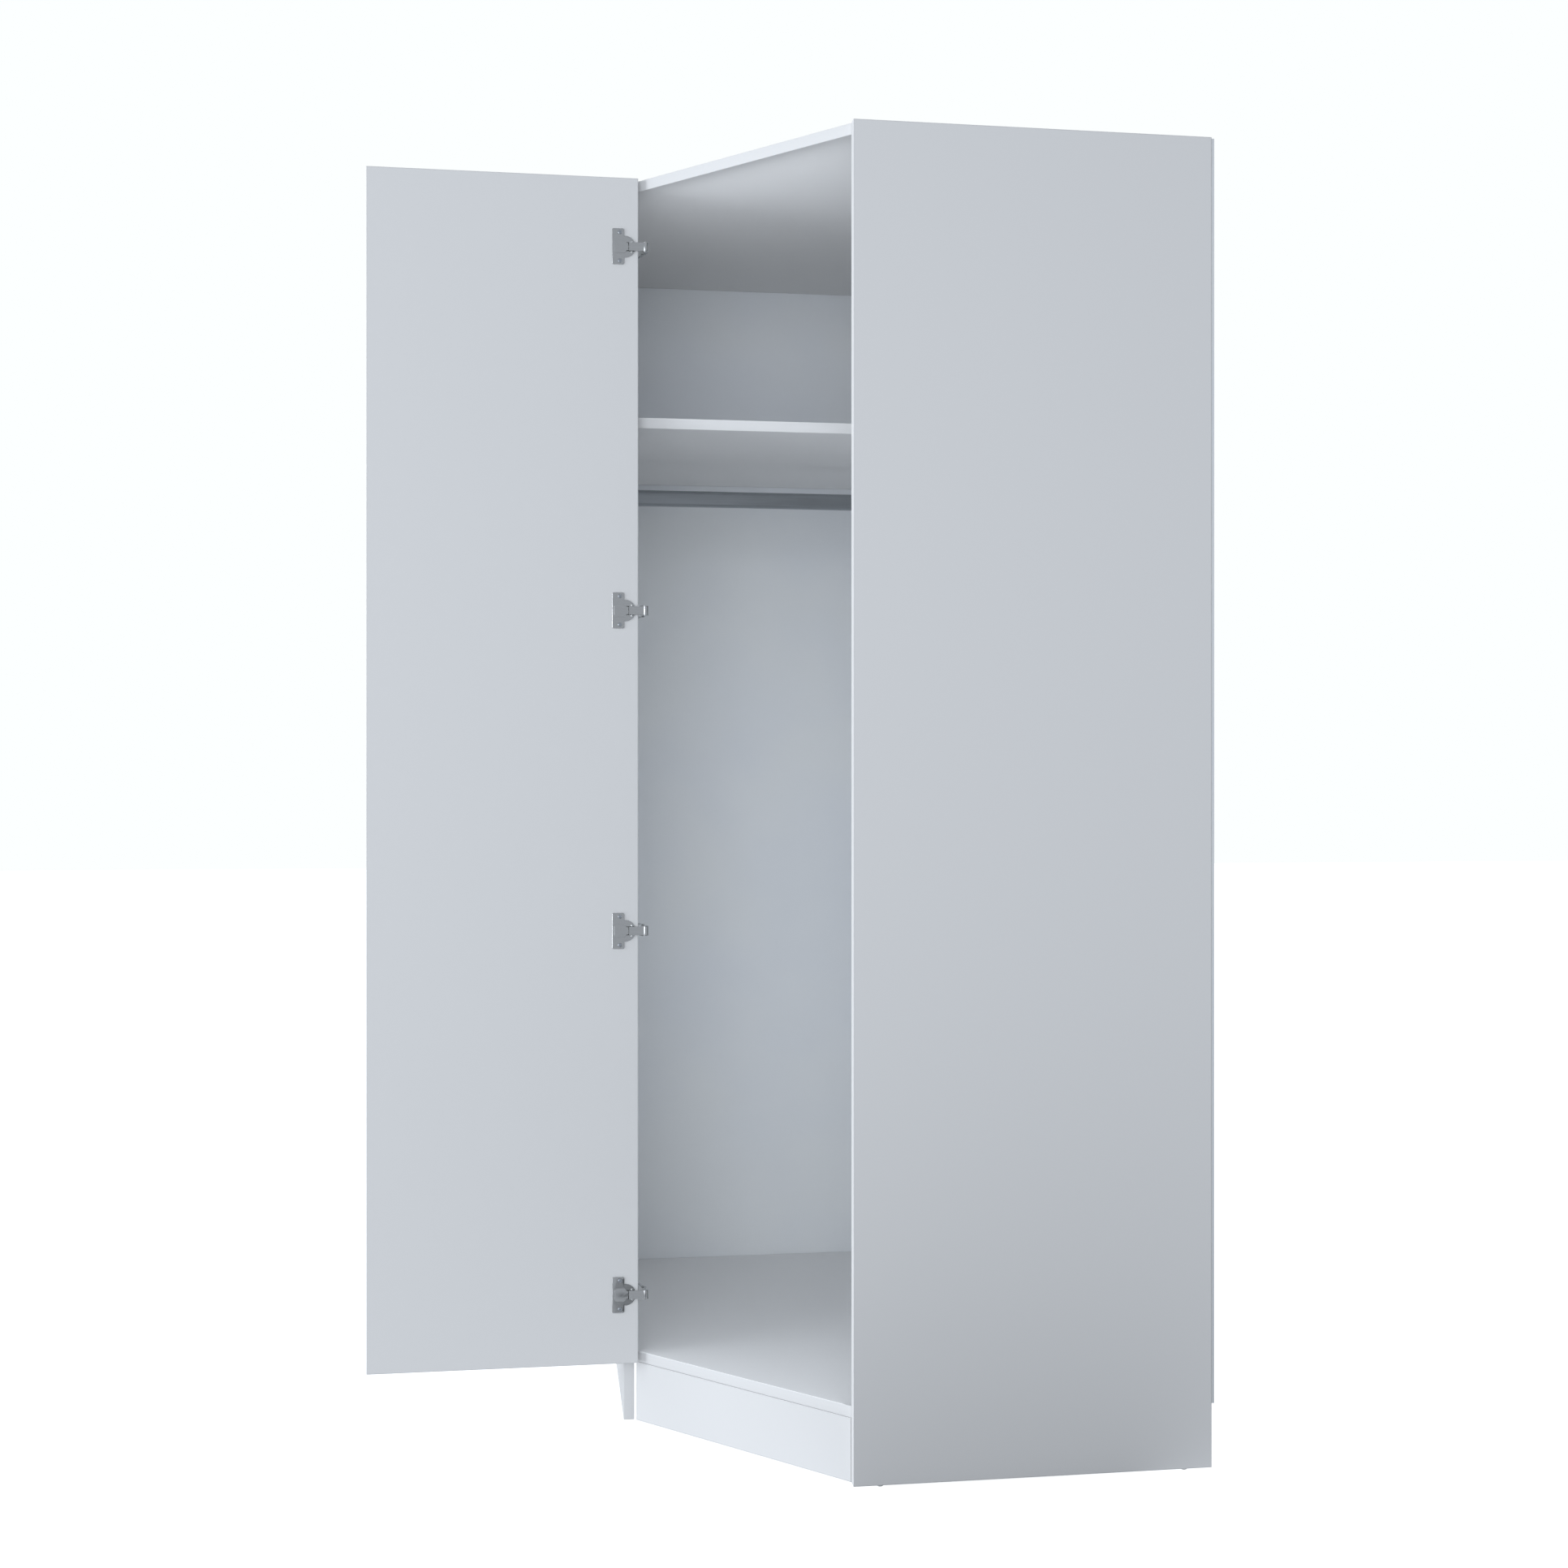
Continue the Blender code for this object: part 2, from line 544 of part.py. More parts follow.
def hinge_cup_mesh():
    outer = CUP_BORE_RADIUS - JOINT_GAP
    inner = outer - CUP_WALL
    floor = -CUP_BORE_DEPTH + JOINT_GAP
    rim_top = JOINT_GAP + CUP_RIM
    barrel = prism(circle((0.0, 0.0), outer), floor, rim_top, ALONG_Y)
    rim = prism(circle((0.0, 0.0), outer + CUP_WALL), JOINT_GAP, rim_top, ALONG_Y)
    cavity = prism(circle((0.0, 0.0), inner), floor + CUP_WALL, BOARD, ALONG_Y)
    half = FLANGE_HEIGHT / 2
    flange_outline = rounded(
        rectangle((FLANGE_START, -half), (FLANGE_START + FLANGE_WIDTH, half)), FLANGE_CORNER
    )
    flange = prism(flange_outline, JOINT_GAP, FLANGE_TOP, ALONG_Y)
    half = COVER_WIDTH / 2
    cover_outline = rounded(
        rectangle((COVER_START, -half), (COVER_START + COVER_LENGTH, half)), COVER_CORNER
    )
    cover = prism(cover_outline, JOINT_GAP, JOINT_GAP + COVER_RISE, ALONG_Y)
    steps = [("UNION", rim), ("DIFFERENCE", cavity), ("UNION", flange), ("UNION", cover)]
    for side in (-1, 1):
        place = (SCREW_OFFSET, side * SCREW_SPACING / 2)
        hole = circle(place, SCREW_SHANK_RADIUS + JOINT_GAP, SMALL_SIDES)
        steps.append(("DIFFERENCE", prism(hole, -BOARD, BOARD, ALONG_Y)))
    return carved(barrel, steps)


# Flange screw: a low domed head with a cross recess, and a plain shank in place of its thread.
def flange_screw_mesh():
    head_low = FLANGE_TOP + JOINT_GAP
    head_high = head_low + SCREW_HEAD_RISE
    profile = [
        (SCREW_SHANK_RADIUS, JOINT_GAP - SCREW_LENGTH),
        (SCREW_SHANK_RADIUS, head_low),
        (SCREW_HEAD_RADIUS, head_low),
        (SCREW_SHOULDER_RADIUS, head_low + SCREW_SHOULDER_RISE),
        (SCREW_CROWN_RADIUS, head_high),
    ]
    shape = bmesh.new()
    rings = []
    for radius, y in profile:
        ring = [shape.verts.new((u, y, v)) for u, v in circle((0.0, 0.0), radius, SMALL_SIDES)]
        rings.append(ring)
    for low, high in zip(rings, rings[1:]):
        for i in range(SMALL_SIDES):
            j = (i + 1) % SMALL_SIDES
            shape.faces.new((low[i], low[j], high[j], high[i]))
    shape.faces.new(rings[0])
    shape.faces.new(rings[-1])
    bmesh.ops.recalc_face_normals(shape, faces=shape.faces)
    mesh = bpy.data.meshes.new("screw")
    shape.to_mesh(mesh)
    shape.free()
    slots = []
    for wide, tall in ((SCREW_CROWN_RADIUS, SCREW_SLOT_HALF), (SCREW_SLOT_HALF, SCREW_CROWN_RADIUS)):
        slot = prism(rectangle((-wide, -tall), (wide, tall)), head_high - SCREW_SLOT_DEPTH, BOARD, ALONG_Y)
        slots.append(("DIFFERENCE", slot))
    return carved(mesh, slots)


# The linkage of each hinge, in plan: a pin in the cup carries the inner link, which lies over the open door's
# edge; a second pivot joins it to the outer link, which turns on the arm's two stub pins.
CUP_PIVOT = (CUP_PIVOT_FROM_EDGE - AXIS_FROM_EDGE, DOOR_FACE_Y + CUP_PIVOT_RISE)
ARM_PIVOT_X = LEFT_FACE_X + ARM_PIVOT[0]
ARM_PIVOT_Y = LEFT_FRONT_Y + ARM_PIVOT[1]
LINK_PIVOT_X = AXIS_X + AXIS_FROM_EDGE + LINK_PIVOT_FROM_DOOR[0]
LINK_PIVOT_Y = AXIS_Y - DOOR_FACE_Y - LINK_PIVOT_FROM_DOOR[1]
STRIP_RISE = 2 * JOINT_GAP + CUP_RIM - CUP_PIVOT_RISE  # over the cup's rim, from the pin
CHEEK_LOW = LINK_HALF_HEIGHT + PIVOT_GAP
CHEEK_HIGH = CHEEK_LOW + CHEEK
EAR_LOW = CHEEK_HIGH + PIVOT_GAP
EAR_HIGH = EAR_LOW + ARM_SHEET


def inner_link_mesh():
    """Its frame is the door's, moved to the cup's pin."""
    far = (
        AXIS_X - LINK_PIVOT_X - CUP_PIVOT[0],
        AXIS_Y - LINK_PIVOT_Y - CUP_PIVOT[1],
    )
    tail = CUP_FROM_EDGE + COVER_START - CUP_PIVOT_FROM_EDGE - STRIP_TAIL_GAP
    strip = rounded(
        rectangle((far[0], STRIP_RISE), (tail, STRIP_RISE + LINK_THICKNESS)), [0.0, 0.0, STRIP_CORNER, 0.0]
    )
    half = LINK_HALF_HEIGHT
    neck = rectangle((-BARREL_RADIUS, 0.0), (0.0, STRIP_RISE + NECK_OVERLAP))
    bore = circle((0.0, 0.0), PIN_RADIUS + PIVOT_GAP, SMALL_SIDES)
    steps = [
        ("UNION", prism(circle((0.0, 0.0), BARREL_RADIUS, SMALL_SIDES), -half, half)),
        ("UNION", prism(circle(far, KNUCKLE_RADIUS, SMALL_SIDES), -half, half)),
        ("UNION", prism(neck, -half, half)),
        ("DIFFERENCE", prism(bore, -BOARD, BOARD)),
    ]
    return carved(prism(strip, -half, half), steps)


def outer_link_mesh(steps=6):
    """Two cheeks and a web on the side that the inner link never reaches. Its frame is at the arm's pivot."""
    far = Vector((LINK_PIVOT_X - ARM_PIVOT_X, LINK_PIVOT_Y - ARM_PIVOT_Y))
    ahead = far.normalized()
    left = Vector((-ahead.y, ahead.x))
    web_near = KNUCKLE_RADIUS + OPEN_PIVOT_PLAY
    web_far = web_near + CHEEK
    heading = math.atan2(ahead.y, ahead.x)
    outline = [tuple(left * web_far), tuple(far + left * web_far)]
    for centre, first in ((far, heading), (Vector((0.0, 0.0)), heading - math.pi / 2)):
        for k in range(steps + 1):
            turn = first - math.pi / 2 * k / steps
            spoke = Vector((math.cos(turn), math.sin(turn)))
            outline.append(tuple(centre + spoke * KNUCKLE_RADIUS))
    inside = [
        tuple(left * web_near - ahead * BOARD),
        tuple(left * web_near + ahead * 2 * BOARD),
        tuple(ahead * 2 * BOARD - left * BOARD),
        tuple(-ahead * BOARD - left * BOARD),
    ]
    bore = circle((0.0, 0.0), PIN_RADIUS + PIVOT_GAP, SMALL_SIDES)
    cuts = [
        ("DIFFERENCE", prism(inside, -CHEEK_LOW, CHEEK_LOW)),
        ("DIFFERENCE", prism(bore, -BOARD, BOARD)),
    ]
    return carved(prism(outline, -CHEEK_HIGH, CHEEK_HIGH), cuts)


# Hinge arm: a steel channel on the mounting plate, open towards the side board, with two ears at its front.
PLATE_TOP_X = LEFT_FACE_X + JOINT_GAP + PLATE_THICKNESS
ARM_LOW_X = PLATE_TOP_X + JOINT_GAP
ARM_TOP_X = ARM_LOW_X + ARM_HEIGHT


def hinge_arm_mesh():
    """Its frame is at the arm's pivot. It is cranked: low at the rear, and rising to the pivot."""
    low = ARM_LOW_X - ARM_PIVOT_X
    high = ARM_TOP_X - ARM_PIVOT_X
    body_start = ARM_BODY_FROM_EDGE - ARM_PIVOT[1]
    wall = [
        (-ARM_NOSE_HALF, -ARM_NOSE_REACH),
        (ARM_NOSE_HALF, -ARM_NOSE_REACH),
        (high, body_start),
        (high, ARM_LENGTH),
        (low, ARM_LENGTH),
        (low, body_start + ARM_CHIN),
    ]
    web = rectangle((high - ARM_SHEET, body_start + ARM_WEB_SETBACK), (high, ARM_LENGTH))
    ear = circle((0.0, 0.0), ARM_EAR_RADIUS, SMALL_SIDES)
    stub = circle((0.0, 0.0), PIN_RADIUS, SMALL_SIDES)
    steps = []
    for side in (-1, 1):
        span = sorted((side * EAR_LOW, side * EAR_HIGH))
        stub_span = sorted((side * CHEEK_LOW, side * (EAR_HIGH + STUB_PROUD)))
        steps.append(("UNION", prism(wall, *span)))
        steps.append(("UNION", prism(ear, *span)))
        steps.append(("UNION", prism(stub, *stub_span)))
    return carved(prism(web, -EAR_HIGH, EAR_HIGH), steps)


# Mounting plate: a cross-shaped steel plate held by two euro screws that come fitted to it.
def mounting_plate_mesh():
    """Its frame is on the side's inner face, between its two screws."""
    low = JOINT_GAP
    high = JOINT_GAP + PLATE_THICKNESS
    half = PLATE_SCREW_SPACING / 2
    strip = rounded(
        rectangle((-PLATE_FRONT, -PLATE_STRIP_HALF), (PLATE_REAR, PLATE_STRIP_HALF)), PLATE_STRIP_CORNER
    )
    reach = half + PLATE_WING_REACH
    wings = rounded(rectangle((-PLATE_WING_HALF, -reach), (PLATE_WING_HALF, reach)), PLATE_WING_CORNER)
    steps = [("UNION", prism(wings, low, high, ALONG_X))]
    for side in (-1, 1):
        place = (0.0, side * half)
        head = circle(place, PLATE_SCREW_HEAD_RADIUS, SMALL_SIDES)
        shank = circle(place, PLATE_SCREW_RADIUS, PIN_SIDES)
        tip = PLATE_SCREW_TIP_GAP - PLATE_SCREW_DEPTH
        steps.append(("UNION", prism(head, low, high + PLATE_SCREW_HEAD_RISE, ALONG_X)))
        steps.append(("UNION", prism(shank, tip, high, ALONG_X)))
    return carved(prism(strip, low, high, ALONG_X), steps)


def hinges():
    inner_axis = empty("inner_link_axis", (*CUP_PIVOT, 0.0), door_axis)
    outer_axis = empty("outer_link_axis", (ARM_PIVOT_X, ARM_PIVOT_Y, 0.0), cabinet)
    cup = hinge_cup_mesh()
    screw = flange_screw_mesh()
    inner_link = inner_link_mesh()
    outer_link = outer_link_mesh()
    arm = hinge_arm_mesh()
    plate = mounting_plate_mesh()
    cavity = CUP_BORE_RADIUS - JOINT_GAP - CUP_WALL
    pin_half = math.sqrt(cavity**2 - (CUP_FROM_EDGE - CUP_PIVOT_FROM_EDGE + PIN_RADIUS) ** 2) - JOINT_GAP
    pin = prism(circle((0.0, 0.0), PIN_RADIUS, SMALL_SIDES), -pin_half, pin_half)
    for name, z in HINGE_HEIGHTS.items():
        node(f"hinge_cup_{name}", cup, NICKEL, door_axis, (CUP_X, DOOR_FACE_Y, z), smooth=True)
        for place, side in (("a", 1), ("b", -1)):
            at = (CUP_SCREWS_X, DOOR_FACE_Y, z + side * SCREW_SPACING / 2)
            node(f"cup_screw_{name}_{place}", screw, ZINC, door_axis, at, smooth=True)
        node(f"cup_pin_{name}", pin, ZINC, door_axis, (*CUP_PIVOT, z), smooth=True)
        node(f"inner_link_{name}", inner_link, NICKEL, inner_axis, (0.0, 0.0, z), smooth=True)
        node(f"outer_link_{name}", outer_link, NICKEL, outer_axis, (0.0, 0.0, z), smooth=True)
        node(f"hinge_arm_{name}", arm, NICKEL, cabinet, (ARM_PIVOT_X, ARM_PIVOT_Y, z), smooth=True)
        at = (LEFT_FACE_X, PLATE_SCREW_Y, z)
        node(f"mounting_plate_{name}", plate, NICKEL, cabinet, at, smooth=True)


side_right()
side_left()
top_board()
floor_board()
plinth()
rear_corner()
rear_sheets()
shelf()
hanging_rail()
glides()
door()
hinges()
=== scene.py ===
import json
import math

import bmesh
import bpy
from mathutils import Matrix, Vector


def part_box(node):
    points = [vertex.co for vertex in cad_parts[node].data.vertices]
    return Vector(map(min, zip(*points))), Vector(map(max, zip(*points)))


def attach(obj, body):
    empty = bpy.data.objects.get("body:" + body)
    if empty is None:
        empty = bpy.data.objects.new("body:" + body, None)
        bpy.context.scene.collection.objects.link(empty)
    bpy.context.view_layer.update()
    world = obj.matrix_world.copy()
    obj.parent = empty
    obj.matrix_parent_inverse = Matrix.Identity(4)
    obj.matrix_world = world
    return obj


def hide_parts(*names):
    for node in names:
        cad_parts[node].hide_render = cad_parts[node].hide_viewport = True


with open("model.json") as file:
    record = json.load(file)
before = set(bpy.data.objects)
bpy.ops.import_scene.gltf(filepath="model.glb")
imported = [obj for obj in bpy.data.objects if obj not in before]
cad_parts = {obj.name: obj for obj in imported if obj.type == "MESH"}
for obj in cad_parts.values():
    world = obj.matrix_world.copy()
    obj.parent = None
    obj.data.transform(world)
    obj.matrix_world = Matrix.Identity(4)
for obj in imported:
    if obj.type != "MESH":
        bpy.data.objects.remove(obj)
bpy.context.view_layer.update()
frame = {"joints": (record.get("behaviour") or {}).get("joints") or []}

# --------------------------------------------------
# Side boards
# 18 mm chipboard with white melamine paper pressed on both faces. A 1 mm ABS band is glued round the edges
# and its corners are scraped round, so a fine glue line runs 1 mm inside each arris.
# --------------------------------------------------
BAND = 0.0010
BAND_ARRIS = 0.0007
GLUE_LINE = 0.00008
CORE_ARRIS = 0.00012
SIDE_BORE = 0.0030  # for the plates' screws
SIDE_BORE_DEPTH = 0.0125
SHELF_PIN_PLAY = 0.0002
SHELF_PIN_END = 0.001  # its hole is this much deeper than the pin
OVERCUT = 0.01  # cutting shapes run this far past the faces they cut
PIN_SIDES = 24
FACE, EDGE, SAWN = 0, 1, 2  # places in a board's list of materials

ALONG_Z = Matrix.Identity(3)
ALONG_Y = Matrix(((1, 0, 0), (0, 0, 1), (0, 1, 0)))  # outline in X and Z
ALONG_X = Matrix(((0, 0, 1), (1, 0, 0), (0, 1, 0)))  # outline in Y and Z


def srgb(code):
    """A six-digit sRGB hex colour as linear RGBA."""
    parts = [int(code[i : i + 2], 16) / 255 for i in (0, 2, 4)]
    linear = [c / 12.92 if c <= 0.04045 else ((c + 0.055) / 1.055) ** 2.4 for c in parts]
    return (*linear, 1.0)


def per(millimetres):
    """A texture's scale, in repeats to the metre, for a pattern of this size."""
    return 1000.0 / millimetres


def add(owner, kind, settings=None, links=None):
    """Adds one node. settings go to its colour stops, properties or sockets, and links join its inputs."""
    made = owner.node_tree.nodes.new(kind)
    for key, value in (settings or {}).items():
        if key == "stops":
            for stop, (position, code) in zip(made.color_ramp.elements, value):
                stop.position = position
                stop.color = srgb(code)
        elif isinstance(key, str) and hasattr(made, key):
            setattr(made, key, value)
        else:
            made.inputs[key].default_value = value
    for key, socket in (links or {}).items():
        owner.node_tree.links.new(socket, made.inputs[key])
    return made


def finish(name, roughness, metallic=0.0):
    """A new material with its shader, for the nodes that follow to feed."""
    made = bpy.data.materials.new(name)
    made.use_nodes = True
    shader = made.node_tree.nodes["Principled BSDF"]
    shader.inputs["Roughness"].default_value = roughness
    shader.inputs["Metallic"].default_value = metallic
    return made, shader


def feed(material, shader, socket, source):
    material.node_tree.links.new(source, shader.inputs[socket])


# Melamine paper, pressed between steel plates with a pearl grain: a satin face whose sheen breaks up in
# fine pits, with a very faint cool and warm drift in the paper's tone. The real pits are about 0.6 mm
# wide and are drawn at 2.5 mm, since finer ones would not show.
melamine, shader = finish("melamine_paper_white", 0.42)
place = add(melamine, "ShaderNodeTexCoord").outputs["Object"]
drift = add(
    melamine, "ShaderNodeTexNoise", {"Scale": per(420), "Detail": 3.0, "Roughness": 0.55}, {"Vector": place}
)
tone = add(
    melamine,
    "ShaderNodeValToRGB",
    {"stops": ((0.35, "EDF1F9"), (0.65, "F4F8F8"))},
    {"Fac": drift.outputs["Fac"]},
)
feed(melamine, shader, "Base Color", tone.outputs["Color"])
pits = add(melamine, "ShaderNodeTexNoise", {"Scale": per(2.5), "Detail": 2.0}, {"Vector": place})
sheen = add(melamine, "ShaderNodeMapRange", {"To Min": 0.36, "To Max": 0.50}, {"Value": pits.outputs["Fac"]})
feed(melamine, shader, "Roughness", sheen.outputs["Result"])
grain = add(
    melamine, "ShaderNodeBump", {"Strength": 0.10, "Distance": 0.0002}, {"Height": pits.outputs["Fac"]}
)
feed(melamine, shader, "Normal", grain.outputs["Normal"])
shader.inputs["Specular IOR Level"].default_value = 0.42

# ABS edge band, extruded and then scraped and buffed along its length: a touch glossier and whiter than the
# paper, with fine scrape lines running along it.
edge_band, shader = finish("abs_edge_band_white", 0.32)
place = add(edge_band, "ShaderNodeTexCoord").outputs["Object"]
rub = add(edge_band, "ShaderNodeTexNoise", {"Scale": per(6), "Detail": 3.0}, {"Vector": place})
tone = add(
    edge_band,
    "ShaderNodeValToRGB",
    {"stops": ((0.35, "F0F3F7"), (0.65, "F5F7F9"))},
    {"Fac": rub.outputs["Fac"]},
)
feed(edge_band, shader, "Base Color", tone.outputs["Color"])
sheen = add(edge_band, "ShaderNodeMapRange", {"To Min": 0.26, "To Max": 0.40}, {"Value": rub.outputs["Fac"]})
feed(edge_band, shader, "Roughness", sheen.outputs["Result"])
scrape = add(
    edge_band, "ShaderNodeBump", {"Strength": 0.12, "Distance": 0.0002}, {"Height": rub.outputs["Fac"]}
)
feed(edge_band, shader, "Normal", scrape.outputs["Normal"])

# Raw chipboard, sawn: pressed wood chips of 2 to 6 mm in straw and brown. It shows inside bores and on the
# edges that the backs cover.
chipboard, shader = finish("chipboard_sawn", 0.85)
place = add(chipboard, "ShaderNodeTexCoord").outputs["Object"]
chips = add(chipboard, "ShaderNodeTexVoronoi", {"Scale": per(3.0)}, {"Vector": place})
chip_tone = add(chipboard, "ShaderNodeSeparateColor", links={"Color": chips.outputs["Color"]})
tone = add(
    chipboard,
    "ShaderNodeValToRGB",
    {"stops": ((0.1, "A98758"), (0.9, "D8BE92"))},
    {"Fac": chip_tone.outputs["Red"]},
)
feed(chipboard, shader, "Base Color", tone.outputs["Color"])
ridges = add(
    chipboard, "ShaderNodeBump", {"Strength": 0.5, "Distance": 0.0004}, {"Height": chips.outputs["Distance"]}
)
feed(chipboard, shader, "Normal", ridges.outputs["Normal"])


def rectangle(low, high):
    return [(low[0], low[1]), (high[0], low[1]), (high[0], high[1]), (low[0], high[1])]


def circle(centre, radius, sides=48):
    turns = [2 * math.pi * (i + 0.5) / sides for i in range(sides)]
    return [(centre[0] + radius * math.cos(a), centre[1] + radius * math.sin(a)) for a in turns]


def prism(outline, low, high, direction=ALONG_Z):
    """A mesh: the outline extruded from low to high."""
    shape = bmesh.new()
    ring = [shape.verts.new(direction @ Vector((u, v, low))) for u, v in outline]
    face = shape.faces.new(ring)
    grown = bmesh.ops.extrude_face_region(shape, geom=[face])
    moved = [item for item in grown["geom"] if isinstance(item, bmesh.types.BMVert)]
    bmesh.ops.translate(shape, vec=direction @ Vector((0, 0, high - low)), verts=moved)
    bmesh.ops.recalc_face_normals(shape, faces=shape.faces)
    mesh = bpy.data.meshes.new("prism")
    shape.to_mesh(mesh)
    shape.free()
    return mesh


def softened(mesh, radius, segments=2, sharper_than=30.0):
    """Rounds each edge that is sharper than an angle."""
    shape = bmesh.new()
    shape.from_mesh(mesh)
    limit = math.radians(sharper_than)
    edges = [e for e in shape.edges if e.is_manifold and e.calc_face_angle(0.0) > limit]
    bmesh.ops.bevel(
        shape, geom=edges, offset=radius, segments=segments, profile=0.5, affect="EDGES", clamp_overlap=True
    )
    shape.to_mesh(mesh)
    shape.free()
    return mesh


def carved(mesh, steps):
    """The mesh after a list of Boolean steps, each ("UNION" or "DIFFERENCE", mesh)."""
    work = bpy.data.objects.new("work", mesh)
    bpy.context.collection.objects.link(work)
    tools = [work]
    for operation, other in steps:
        tool = bpy.data.objects.new("tool", other)
        bpy.context.collection.objects.link(tool)
        tools.append(tool)
        step = work.modifiers.new(operation, "BOOLEAN")
        step.operation = operation
        step.object = tool
    bpy.context.view_layer.update()
    result = bpy.data.meshes.new_from_object(work.evaluated_get(bpy.context.evaluated_depsgraph_get()))
    for tool in tools:
        bpy.data.objects.remove(tool, do_unlink=True)
    return result


def piece(name, mesh, materials, body, stands_for=(), place=None):
    """A finished piece: it rides on a body, takes the given finishes and stands for CAD nodes."""
    made = bpy.data.objects.new(name, mesh)
    bpy.context.collection.objects.link(made)
    if not mesh.materials:
        for material in materials:
            mesh.materials.append(material)
        mesh.shade_smooth()
        mesh.set_sharp_from_angle(angle=math.radians(32))
    if place is not None:
        made.matrix_world = place
    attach(made, body)
    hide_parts(*stands_for)
    return made


def joined(meshes):
    """Several meshes as one. Each comes with its place in the material list, or None to keep its own."""
    shape = bmesh.new()
    for index, mesh in meshes:
        start = len(shape.faces)
        shape.from_mesh(mesh)
        shape.faces.ensure_lookup_table()
        if index is not None:
            for face in shape.faces[start:]:
                face.material_index = index
    result = bpy.data.meshes.new("joined")
    shape.to_mesh(result)
    shape.free()
    return result


def inset(outline, distances):
    """The outline with each side moved in by its own distance. It runs anticlockwise."""
    count = len(outline)
    lines = []
    for i, distance in enumerate(distances):
        start = Vector(outline[i])
        along = (Vector(outline[(i + 1) % count]) - start).normalized()
        lines.append((start + Vector((-along.y, along.x)) * distance, along))
    points = []
    for i in range(count):
        (a, u), (b, v) = lines[i - 1], lines[i]
        points.append(tuple(a + u * ((b - a).cross(v) / u.cross(v))))
    return points


def board_mesh(outline, low, high, direction, banded, bores=()):
    """A faced board: its core, raw on the sides that aren't banded, and a band on each of the others."""
    band = [BAND if i in banded else 0.0 for i in range(len(outline))]
    glue = [BAND + GLUE_LINE if i in banded else 0.0 for i in range(len(outline))]
    core_outline = inset(outline, glue)
    core = softened(prism(core_outline, low, high, direction), CORE_ARRIS, 1)
    normal = direction @ Vector((0, 0, 1))
    core.materials.clear()
    for material in (melamine, edge_band, chipboard):
        core.materials.append(material)
    for face in core.polygons:
        face.material_index = FACE if abs(face.normal.dot(normal)) > 0.5 else SAWN
    if bores:
        for _, bore in bores:
            for material in (melamine, edge_band, chipboard):
                bore.materials.append(material)
            for face in bore.polygons:
                face.material_index = SAWN
        core = carved(core, bores)
    inner = inset(outline, band)
    meshes = [(None, core)]
    for i in banded:
        j = (i + 1) % len(outline)
        strip = prism([outline[i], outline[j], inner[j], inner[i]], low, high, direction)
        meshes.append((EDGE, softened_strip(strip, outline[i], outline[j], direction)))
    return joined(meshes)


def softened_strip(strip, start, end, direction):
    """Rounds a band's outer arrises, which are the long edges on the line from start to end."""
    shape = bmesh.new()
    shape.from_mesh(strip)
    along = Vector(end) - Vector(start)
    edges = []
    for edge in shape.edges:
        flat = [direction.transposed() @ v.co for v in edge.verts]
        off = [abs((Vector(p.xy) - Vector(start)).cross(along.normalized())) for p in flat]
        if max(off) < 1e-5 and (flat[0].xy - flat[1].xy).length > along.length / 2:
            edges.append(edge)
    bmesh.ops.bevel(
        shape, geom=edges, offset=BAND_ARRIS, segments=4, profile=0.5, affect="EDGES", clamp_overlap=True
    )
    shape.to_mesh(strip)
    shape.free()
    return strip


def board(name, node, direction, flat, banded, outline=None, bores=(), body="cabinet"):
    """A board in the place of a CAD node. flat is the axis across its thickness: 0, 1 or 2."""
    low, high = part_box(node)
    if outline is None:
        u, v = [axis for axis in range(3) if axis != flat]
        outline = rectangle((low[u], low[v]), (high[u], high[v]))
    mesh = board_mesh(outline, low[flat], high[flat], direction, banded, bores)
    return piece(name, mesh, [], body, [node])


ALL_ROUND = (0, 1, 2, 3)
HINGES = ("bottom", "lower", "upper", "top")

right_low, right_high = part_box("side_right")
left_low, left_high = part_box("side_left")
board("right_side", "side_right", ALONG_Y, 1, ALL_ROUND)

PLATE_SCREW_SPACING = 0.032
PLATE_FRONT = 0.020  # from its screws
screw_heights = []
for height in HINGES:
    low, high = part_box(f"mounting_plate_{height}")
    middle = (low.z + high.z) / 2
    screw_heights += [middle - PLATE_SCREW_SPACING / 2, middle + PLATE_SCREW_SPACING / 2]
plate_screw_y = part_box("mounting_plate_top")[0].y + PLATE_FRONT
side_bores = []
for z in screw_heights:
    outline = circle((plate_screw_y, z), SIDE_BORE, PIN_SIDES)
    hole = prism(outline, left_high.x - SIDE_BORE_DEPTH, left_high.x + OVERCUT, ALONG_X)
    side_bores.append(("DIFFERENCE", hole))
for pin in ("shelf_pin_front", "shelf_pin_rear"):
    low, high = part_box(pin)
    centre = ((low.y + high.y) / 2, (low.z + high.z) / 2)
    outline = circle(centre, (high.z - low.z) / 2 + SHELF_PIN_PLAY, PIN_SIDES)
    hole = prism(outline, low.x - SHELF_PIN_END, left_high.x + OVERCUT, ALONG_X)
    side_bores.append(("DIFFERENCE", hole))
board("left_side", "side_left", ALONG_X, 0, ALL_ROUND, bores=side_bores)

# --------------------------------------------------
# Top and floor
# Five-sided boards of the same faced chipboard, held between the sides. Only the edge on the diagonal shows,
# so only that one is banded; the sides and the backs cover the sawn ones.
# --------------------------------------------------
def five_sided(node):
    """The outline in plan, anticlockwise, starting with the side along the right board."""
    low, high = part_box(node)
    gap = low.x - left_high.x
    return [
        (right_low.x - gap, low.y),
        (high.x, low.y),
        (high.x, high.y),
        (low.x, high.y),
        (low.x, left_low.y - gap),
    ]


board("roof", "top_board", ALONG_Z, 2, (4,), five_sided("top_board"))
board("bottom", "floor_board", ALONG_Z, 2, (4,), five_sided("floor_board"))

